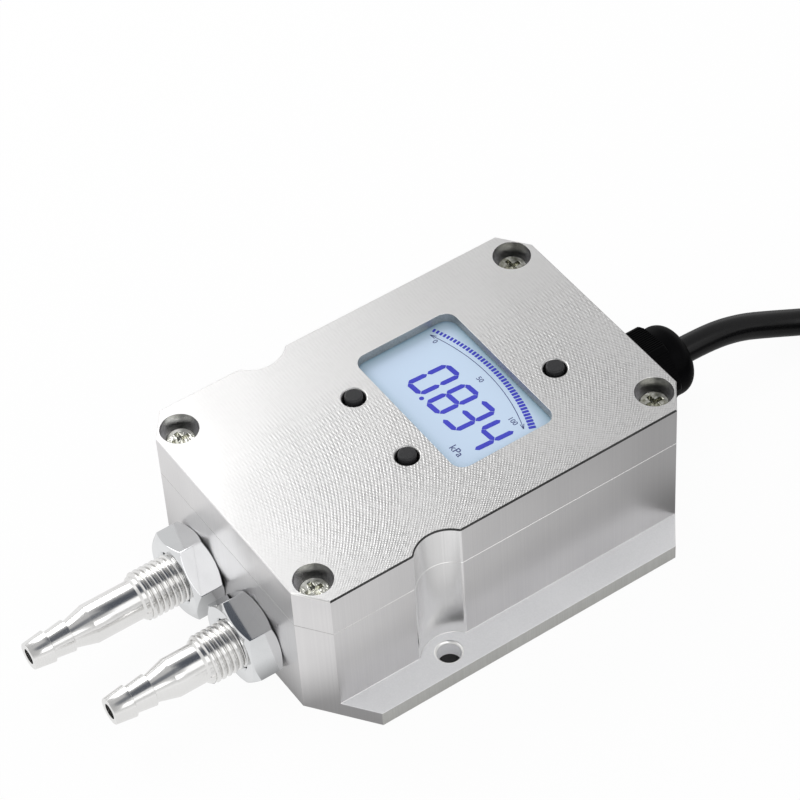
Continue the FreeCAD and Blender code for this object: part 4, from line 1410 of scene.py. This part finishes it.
    def on_ledge_edge(self, middle: Vector, normal: Vector) -> bool:
        """Say whether a face belongs to the broken upper edge of a flange."""
        return middle.z < self.ledge and self.on_slope(normal) and not self.near_hole(middle)

    def in_opening(self, middle: Vector, normal: Vector) -> bool:
        """Say whether a face belongs to the walls of the display's opening."""
        sides = zip(self.opening_low, middle, self.opening_high)
        return abs(normal.z) < self.opening_normal and all(low < value < high for low, value, high in sides)

    def build(self) -> None:
        """Refine both shells and dress them."""
        for node, edge in self.edges.items():
            shell = refined_copy(node, f"{node}_milled", edge, segments=self.chamfer_steps)
            dress(shell, MILLED_SIDE)
            self.mark(shell, MILLED_RELIEF, self.on_relief)
            if node == "housing_cover":
                self.mark(shell, MILLED_TOP, self.level_at(self.top))
                self.mark(shell, MILLED_POCKET, self.in_opening)
                self.mark(shell, MILLED_BORE, self.in_screw_bore)
                # Painted dark reflection on the right top chamfer
                self.mark(shell, MILLED_PAINTED_DARK_EDGE, self.on_outer_edge)
                # Painted highlight on the opening's rim
                self.mark(shell, MILLED_PAINTED_HIGHLIGHT, self.on_inner_rim)
            else:
                self.mark(shell, MILLED_LEDGE, self.level_at(self.ledge))
                self.mark(shell, MILLED_LEDGE, self.on_ledge_edge)
                self.mark(shell, MILLED_POCKET, self.on_seam)
                # Painted highlight on the long side seams
                self.mark(shell, MILLED_PAINTED_HIGHLIGHT, self.on_side_seam)
                self.mark(shell, MILLED_FOOT, self.on_foot)
                self.mark(shell, MILLED_LEDGE, self.on_hole_wall)
                # Painted highlight on the mounting holes' rims
                self.mark(shell, MILLED_PAINTED_HIGHLIGHT, self.on_hole_rim)
            hand_in(shell, "root", MILLED_SIDE.slot)


# Hose ports


@dataclass
class HosePort:
    """One hose port: a turned fitting with a cut thread, and its jam nut.

    The start of the ridge, its width and the steps of its run-out are shares of the pitch.
    """

    side: Side
    x: float
    z: float = 9.0
    extra_stud: float = 0.0
    shank_length: float = 9.9
    wall_y: float = -43.0
    wall: float = 4.0
    nut_thickness: float = 6.4
    stud_length: float = 7.2
    thread_radius: float = 5.0
    root_radius: float = 4.42
    pitch: float = 1.2
    ridge_start: float = 0.55
    ridge_width: float = 0.46
    ridge_stretch: float = 1.1
    ridge_corners: int = 10
    turn_steps: int = 48
    run_out_steps: int = 5
    run_out_step: float = 0.22
    run_out_shrink: float = 0.972
    smooth_angle: float = 38.0
    shank_radius: float = 3.95
    shank_taper: float = 4.4
    barb_pitch: float = 4.25
    barb_radius: float = 3.25
    neck_radius: float = 2.7
    bore_radius: float = 1.55
    nipple_radius: float = 1.3
    nipple_bore: float = 0.6
    nipple_length: float = 7.5
    lip: float = 0.08
    nut_turn: float = 0.0
    nut_across_flats: float = 16.0
    nut_margin: float = 0.25
    nut_slope: float = 30.0
    nut_spare: float = 0.1
    nut_bore: float = 5.05
    nut_lead: float = 5.6
    nut_edge: float = 0.26
    nut_angle: float = 22.0

    @property
    def stud_end(self) -> float:
        """Return where the thread's outer end lies, along Y."""
        return self.wall_y - self.nut_thickness - self.stud_length - self.extra_stud

    @property
    def inner_face(self) -> float:
        """Return where the wall's inner face lies, along Y."""
        return self.wall_y + self.wall

    def outline(self) -> list[tuple[float, float]]:
        """List the closed section of the fitting, from its tip inwards along the outside.

        Returns:
            Points as (radius, place along Y).
        """
        stud = self.stud_end
        taper = stud - self.shank_length
        neck = taper - self.shank_taper
        middle = neck - self.barb_pitch
        tip = middle - self.barb_pitch
        lip = self.lip
        inside = self.inner_face
        end = inside + self.nipple_length
        points = [(self.bore_radius, tip + lip), (self.bore_radius + lip, tip),
                  (self.neck_radius - lip, tip), (self.neck_radius, tip + lip)]
        for barb in (middle, neck):
            points += [(self.barb_radius, barb - lip), (self.barb_radius - lip, barb),
                       (self.neck_radius, barb)]
        points += [
            (self.shank_radius - lip, taper - lip), (self.shank_radius, taper + lip),
            (self.shank_radius, stud), (self.root_radius, stud + self.root_radius - self.shank_radius),
            (self.root_radius, inside), (self.nipple_radius, inside), (self.nipple_radius, end),
            (self.nipple_bore, end), (self.nipple_bore, inside),
            (self.bore_radius, inside - self.nipple_radius), (self.bore_radius, tip + lip),
        ]
        return points

    def thread(self) -> bpy.types.Object:
        """Cut the thread as a round-crested ridge that winds along the stud.

        Returns:
            The ridge, closed at both ends and run out at its outer end.
        """
        start = self.stud_end + self.pitch * self.ridge_start
        turns = int((self.inner_face - start) / self.pitch) - 1
        ridge = self.pitch * self.ridge_width
        bpy.ops.mesh.primitive_circle_add(vertices=self.ridge_corners, radius=ridge * MM, fill_type="NOTHING")
        piece = bpy.context.object
        piece.name = f"thread_{self.side.value}"

        def steps() -> None:
            """Stretch the round section and move it out to the thread's radius."""
            bpy.ops.transform.resize(value=(self.ridge_stretch, 1.0, 1.0))
            reach = self.thread_radius - ridge * self.ridge_stretch
            bpy.ops.transform.translate(value=(reach * MM, 0.0, 0.0))

        in_edit_mode(piece, steps)
        apply_modifier(piece, "SCREW", axis="Y", angle=2 * math.pi, steps=self.turn_steps,
                       render_steps=self.turn_steps, screw_offset=self.pitch * MM, iterations=turns,
                       use_normal_calculate=False)
        piece.data.transform(Matrix.Translation(Vector((self.x, start, self.z)) * MM))

        def close() -> None:
            """Close both ends of the ridge."""
            bpy.ops.mesh.fill_holes(sides=0)
            bpy.ops.mesh.normals_make_consistent(inside=False)

        in_edit_mode(piece, close)
        self.run_out(piece, self.stud_end + self.pitch)
        return piece

    def run_out(self, piece: bpy.types.Object, limit: float) -> None:
        """Let the outer end of the thread sink into the stud, in small steps.

        Args:
            piece: The ridge.
            limit: Place along Y where it starts to sink.
        """
        centre = Vector((self.x, 0.0, self.z)) * MM
        shrink = self.run_out_shrink

        def steps() -> None:
            """Draw in what lies past each of the places, one after the other."""
            for k in range(self.run_out_steps):
                edge = (limit - k * self.pitch * self.run_out_step) * MM
                select_vertices(piece, lambda spot: spot.y < edge)
                bpy.ops.transform.resize(value=(shrink, 1.0, shrink), center_override=centre)

        in_edit_mode(piece, steps)

    def nut_outline(self) -> list[tuple[float, float]]:
        """List the closed section that both chamfers and the bore leave of the nut.

        Returns:
            Points as (radius, place along Y).
        """
        outer = self.wall_y - self.nut_thickness
        start = self.nut_across_flats / 2 - self.nut_margin
        reach = self.nut_across_flats / math.sqrt(3) + self.nut_spare
        slope = (reach - start) * math.tan(math.radians(self.nut_slope))
        return [
            (self.nut_lead, outer), (start, outer), (reach, outer + slope), (reach, self.wall_y - slope),
            (start, self.wall_y), (self.nut_bore, self.wall_y),
            (self.nut_bore, outer + self.nut_lead - self.nut_bore), (self.nut_lead, outer),
        ]

    def nut(self) -> bpy.types.Object:
        """Make the jam nut from a hexagonal bar, chamfered on both faces.

        Returns:
            The nut in its place.
        """
        middle = Vector((0.0, self.wall_y - self.nut_thickness / 2, 0.0)) * MM
        bpy.ops.mesh.primitive_cylinder_add(
            vertices=6, radius=self.nut_across_flats / math.sqrt(3) * MM, depth=self.nut_thickness * MM,
            location=middle, rotation=(math.radians(90), 0.0, 0.0))
        nut = bpy.context.object
        nut.name = f"port_nut_{self.side.value}_plated"
        select_only(nut)
        bpy.ops.object.transform_apply(location=True, rotation=True, scale=True)
        ring = turned("nut_ring", self.nut_outline(), (0.0, 0.0, 0.0), Axis.Y)
        apply_modifier(nut, "BOOLEAN", operation="INTERSECT", object=ring, solver="EXACT")
        bpy.data.objects.remove(ring)
        clean_mesh(nut)
        place = Matrix.Translation(Vector((self.x, 0.0, self.z)) * MM)
        nut.data.transform(place @ Matrix.Rotation(math.radians(self.nut_turn), 4, "Y"))
        soften_edges(nut, self.nut_edge, self.nut_angle)
        return nut

    def build(self) -> None:
        """Turn the fitting, cut its thread, and dress it and the nut."""
        side = self.side.value
        body = turned(f"fitting_{side}", self.outline(), (self.x, 0.0, self.z), Axis.Y)
        fitting = joined([body, self.thread()], f"port_fitting_{side}_threaded")
        select_only(fitting)
        bpy.ops.object.shade_smooth_by_angle(angle=math.radians(self.smooth_angle))
        dress(fitting, NICKEL)
        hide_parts(f"port_fitting_{side}")
        hand_in(fitting, "root", NICKEL.slot)
        nut = self.nut()
        dress(nut, ZINC)
        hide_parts(f"port_nut_{side}")
        hand_in(nut, "root", ZINC.slot)


# Screws


@dataclass
class CoverScrews:
    """The four pan head screws in the cover."""

    edge: float = 0.07

    def build(self) -> None:
        """Refine and dress the screws."""
        screws = refined_copy("cover_screws", "cover_screws_plated", self.edge)
        dress(screws, SCREW_PLATE)
        hand_in(screws, "root", SCREW_PLATE.slot)


# Display


class Segment(Enum):
    """The seven bars of a digit, as (start, end) on a grid one wide and two high."""

    TOP = ((0, 2), (1, 2))
    UPPER_LEFT = ((0, 1), (0, 2))
    UPPER_RIGHT = ((1, 1), (1, 2))
    MIDDLE = ((0, 1), (1, 1))
    LOWER_LEFT = ((0, 0), (0, 1))
    LOWER_RIGHT = ((1, 0), (1, 1))
    BOTTOM = ((0, 0), (1, 0))


ALL_BARS = tuple(Segment)
DIGIT_BARS: dict[str, tuple[Segment, ...]] = {
    "0": tuple(bar for bar in ALL_BARS if bar is not Segment.MIDDLE),
    "8": ALL_BARS,
    "3": tuple(bar for bar in ALL_BARS if bar not in (Segment.UPPER_LEFT, Segment.LOWER_LEFT)),
    "4": (Segment.UPPER_LEFT, Segment.UPPER_RIGHT, Segment.MIDDLE, Segment.LOWER_RIGHT),
}


@dataclass
class Display:
    """The lit glass with a reading, a bar graph and its scale.

    The bluntness, the spread of the ticks and the corners are shares of the size that they change.
    """

    glass_top: float = 30.1
    lift: float = 0.012
    ink: float = 0.02
    reading: str = "0834"
    digit_lefts: tuple[float, ...] = (-8.6, -2.3, 3.0, 9.1)
    digit_bottom: float = 3.75
    digit_width: float = 3.7
    digit_height: float = 8.5
    bar_width: float = 1.05
    bar_gap: float = 0.1
    bar_bluntness: float = 0.12
    lean: float = 0.055
    rise: float = 0.085
    dot_radius: float = 0.48
    dot_corners: int = 24
    dot_place: tuple[float, float] = (-3.85, 3.6)
    arc_middle: float = -1.3
    arc_top: float = 17.2
    arc_radius: float = 42.0
    arc_reach: float = 21.3
    arc_line: float = 0.13
    arc_steps: int = 60
    tick_count: int = 40
    tick_gap: float = 0.95
    tick_width: float = 0.5
    tick_heights: Ends = (0.85, 1.4)
    tick_spread: float = 0.25
    tick_corner: float = 0.15
    arrow_length: float = 1.3
    arrow_angle: float = 16.0
    glass_edge: float = 0.1
    labels: tuple[tuple[str, float, float, float], ...] = (
        ("0", -14.9, 13.6, 1.5),
        ("50", -2.0, 14.7, 1.5),
        ("100", 10.0, 13.4, 1.5),
        ("kPa", 9.4, 0.5, 2.2),
    )

    def bar(self, length: float) -> bpy.types.Object:
        """Draw one bar with pointed ends, level and centred on the origin.

        Args:
            length: Distance between the corners that the bar joins.

        Returns:
            The bar as a flat mesh.
        """
        point = self.bar_width / 2
        half = length / 2 - self.bar_gap - point
        bpy.ops.mesh.primitive_plane_add(size=1.0)
        piece = bpy.context.object
        piece.data.transform(Matrix.Diagonal((2 * half * MM, self.bar_width * MM, 1.0, 1.0)))

        def steps() -> None:
            """Extrude both short edges and bring each to a blunt point."""
            for way in (-1, 1):
                select_vertices(piece, lambda spot: spot.x * way > half * MM - WELD_REACH)
                bpy.ops.mesh.extrude_region_move(TRANSFORM_OT_translate={"value": (way * point * MM, 0, 0)})
                bpy.ops.transform.resize(value=(1.0, self.bar_bluntness, 1.0))

        in_edit_mode(piece, steps)
        return piece

    def digit_place(self, left: float) -> Matrix:
        """Lean a digit and put it in its place.

        Args:
            left: Place of its lower left corner.

        Returns:
            A matrix in metres for bars that are drawn about the origin.
        """
        slope = Matrix.Identity(4)
        slope[0][1] = self.lean
        slope[1][0] = self.rise
        return Matrix.Translation(Vector((left, self.digit_bottom, 0.0)) * MM) @ slope

    def digits(self) -> list[bpy.types.Object]:
        """Draw the reading with its point.

        Returns:
            The bars and the point as flat meshes.
        """
        pieces = []
        masters = {True: self.bar(self.digit_height / 2), False: self.bar(self.digit_width)}
        for mark, left in zip(self.reading, self.digit_lefts):
            for segment in DIGIT_BARS[mark]:
                (x0, y0), (x1, y1) = segment.value
                upright = x0 == x1
                centre = Vector(((x0 + x1) / 2 * self.digit_width,
                                 (y0 + y1) / 4 * self.digit_height, 0.0)) * MM
                turn = Matrix.Rotation(math.radians(90 if upright else 0), 4, "Z")
                place = self.digit_place(left) @ Matrix.Translation(centre) @ turn
                pieces.append(placed_copy(masters[upright], place))
        for master in masters.values():
            bpy.data.objects.remove(master)
        bpy.ops.mesh.primitive_circle_add(vertices=self.dot_corners, radius=self.dot_radius * MM,
                                          fill_type="NGON")
        dot = bpy.context.object
        dot.data.transform(Matrix.Translation(Vector((*self.dot_place, 0.0)) * MM))
        return [*pieces, dot]

    def on_arc(self, degrees: float, outward: float) -> Matrix:
        """Place something on the scale's arc, turned with it.

        Args:
            degrees: Angle from the arc's top, to the right.
            outward: Distance outside the arc.

        Returns:
            A matrix in metres.
        """
        centre = Vector((self.arc_middle, self.arc_top - self.arc_radius, 0.0)) * MM
        turn = Matrix.Rotation(-math.radians(degrees), 4, "Z")
        return Matrix.Translation(centre) @ turn @ Matrix.Translation(
            Vector((0.0, self.arc_radius + outward, 0.0)) * MM)

    def rectangle(self, width: float, height: float) -> bpy.types.Object:
        """Draw a flat bar that stands on the origin, with blunted corners.

        Args:
            width: Its width.
            height: Its height.

        Returns:
            The bar as a flat mesh.
        """
        bpy.ops.mesh.primitive_plane_add(size=1.0)
        piece = bpy.context.object
        piece.data.transform(Matrix.Translation((0.0, height / 2 * MM, 0.0))
                             @ Matrix.Diagonal((width * MM, height * MM, 1.0, 1.0)))

        def steps() -> None:
            """Blunt the corners."""
            bpy.ops.mesh.bevel(offset=min(width, height) * self.tick_corner * MM, affect="VERTICES")

        in_edit_mode(piece, steps)
        return piece

    def ticks(self) -> list[bpy.types.Object]:
        """Draw the bar graph over the arc, taller to the right.

        Returns:
            Its bars as flat meshes.
        """
        pieces = []
        low, high = self.tick_heights
        for k in range(self.tick_count):
            share = k / (self.tick_count - 1)
            bar = self.rectangle(self.tick_width * (1.0 + self.tick_spread * share),
                                 low + (high - low) * share)
            bar.data.transform(self.on_arc((2 * share - 1) * self.arc_reach, self.tick_gap))
            pieces.append(bar)
        return pieces

    def scale(self) -> list[bpy.types.Object]:
        """Draw the arc with an arrow at each end.

        Returns:
            The arc and its arrow strokes as flat meshes.
        """
        inner = self.arc_radius - self.arc_line / 2
        centre = (self.arc_middle, self.arc_top - self.arc_radius, 0.0)
        arc = turned("scale_arc", [(inner, 0.0), (inner + self.arc_line, 0.0)], centre, Axis.Z,
                     self.arc_steps, 2 * self.arc_reach)
        to_top = Matrix.Rotation(math.radians(90 + self.arc_reach), 4, "Z")
        shift = Matrix.Translation(Vector(centre) * MM)
        arc.data.transform(shift @ to_top @ shift.inverted())
        pieces = [arc]
        for way in (-1, 1):
            for opening in (-self.arrow_angle, self.arrow_angle):
                stroke = self.rectangle(self.arc_line, self.arrow_length)
                turn = Matrix.Rotation(math.radians(way * 90 + opening), 4, "Z")
                stroke.data.transform(self.on_arc(way * self.arc_reach, 0.0) @ turn)
                pieces.append(stroke)
        return pieces

    def lettering(self) -> list[bpy.types.Object]:
        """Write the scale's numbers and the unit.

        Returns:
            The words as flat meshes.
        """
        pieces = []
        for words, x, y, size in self.labels:
            bpy.ops.object.text_add()
            text = bpy.context.object
            text.data.body = words
            text.data.size = size * MM
            select_only(text)
            bpy.ops.object.convert(target="MESH")
            text = bpy.context.object
            text.data.transform(Matrix.Translation(Vector((x, y, 0.0)) * MM))
            pieces.append(text)
        return pieces

    def printed(self, pieces: list[bpy.types.Object], name: str, finish: Finish) -> None:
        """Join flat artwork, give it a thickness and lay it on the glass.

        Args:
            pieces: The flat meshes.
            name: Name of the joined piece.
            finish: Its finish.
        """
        art = joined(pieces, name)
        art.data.transform(Matrix.Translation((0.0, 0.0, (self.glass_top + self.lift) * MM)))
        clean_mesh(art)
        apply_modifier(art, "SOLIDIFY", thickness=self.ink * MM, offset=1.0)
        dress(art, finish)
        hand_in(art, "root", finish.slot)

    def build(self) -> None:
        """Draw the artwork and dress the glass."""
        self.printed([*self.digits(), *self.ticks()], "display_reading", SEGMENT_INK)
        self.printed([*self.scale(), *self.lettering()], "display_scale", SCALE_INK)
        glass = refined_copy("display_glass", "display_glass_lit", self.glass_edge)
        dress(glass, LIT_GLASS)
        hand_in(glass, "root", LIT_GLASS.slot)


# Keys


@dataclass
class KeySet:
    """The stems of the three keys, each on its own moving body."""

    edge: float = 0.09

    def build(self) -> None:
        """Refine and dress the stems."""
        for side in Side:
            stem = refined_copy(f"key_stem_{side.value}", f"key_stem_{side.value}_moulded", self.edge)
            dress(stem, KEY_PLASTIC)
            hand_in(stem, f"key_{side.value}", KEY_PLASTIC.slot)


# Cable gland


@dataclass
class CableGland:
    """The nylon gland: its body and its ridged, domed cap."""

    edge: float = 0.06
    edge_angle: float = 24.0

    def build(self) -> None:
        """Refine and dress the two nylon pieces."""
        for node in ("gland_body", "gland_cap"):
            piece = refined_copy(node, f"{node}_moulded", self.edge, self.edge_angle)
            dress(piece, GLAND_NYLON)
            hand_in(piece, "root", GLAND_NYLON.slot)


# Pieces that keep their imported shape


@dataclass
class PlainNodes:
    """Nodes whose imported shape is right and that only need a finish."""

    finishes: dict[str, Finish]

    def build(self) -> None:
        """Dress each node and report it."""
        for node, finish in self.finishes.items():
            dress(bpy.data.objects[node], finish)
            LOG.info("%s keeps its shape, %s", node, finish.slot)


KEPT_NODES: dict[str, Finish] = {
    "cover_gasket": SEAL,
    "port_seal_left": SEAL,
    "port_seal_right": SEAL,
    "impulse_tube_left": SILICONE,
    "impulse_tube_right": SILICONE,
    "display_backlight": LIGHT_GUIDE,
    "display_frame": FRAME_PLASTIC,
    "display_pins": TINNED,
    "display_board": BOARD,
    "display_board_screws": SCREW_PLATE,
    "key_switch_left": FRAME_PLASTIC,
    "key_switch_right": FRAME_PLASTIC,
    "key_switch_rear": FRAME_PLASTIC,
    "key_domes": TINNED,
    "key_terminals": TINNED,
    "main_board": BOARD,
    "main_board_screws": SCREW_PLATE,
    "main_board_chips": CHIP_PLASTIC,
    "main_board_capacitors": CAN,
    "pressure_sensor": SENSOR,
    "sensor_pins": TINNED,
    "terminal_block": TERMINAL,
    "terminal_screws": SCREW_PLATE,
    "inner_core_red": RED_CORE,
    "inner_core_black": BLACK_CORE,
    "link_header": CHIP_PLASTIC,
    "link_pins": TINNED,
    "link_socket": CHIP_PLASTIC,
    "gland_washer": SEAL,
    "gland_bush": SEAL,
    "cable_end_inside": CABLE_JACKET,
}


def main() -> None:
    """Build the part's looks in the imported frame, piece by piece."""
    logging.basicConfig(level=logging.INFO, format="%(name)s: %(message)s")
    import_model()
    bpy.ops.object.select_all(action="DESELECT")
    Studio().build()
    Cable().build()
    Housing().build()
    HosePort(Side.LEFT, -10.6, extra_stud=1.5, shank_length=9.9, nut_turn=-45.5).build()
    HosePort(Side.RIGHT, 9.3, shank_length=5.9, nut_turn=-16.5).build()
    CoverScrews().build()
    Display().build()
    KeySet().build()
    CableGland().build()
    PlainNodes(KEPT_NODES).build()


if __name__ == "__main__":
    main()
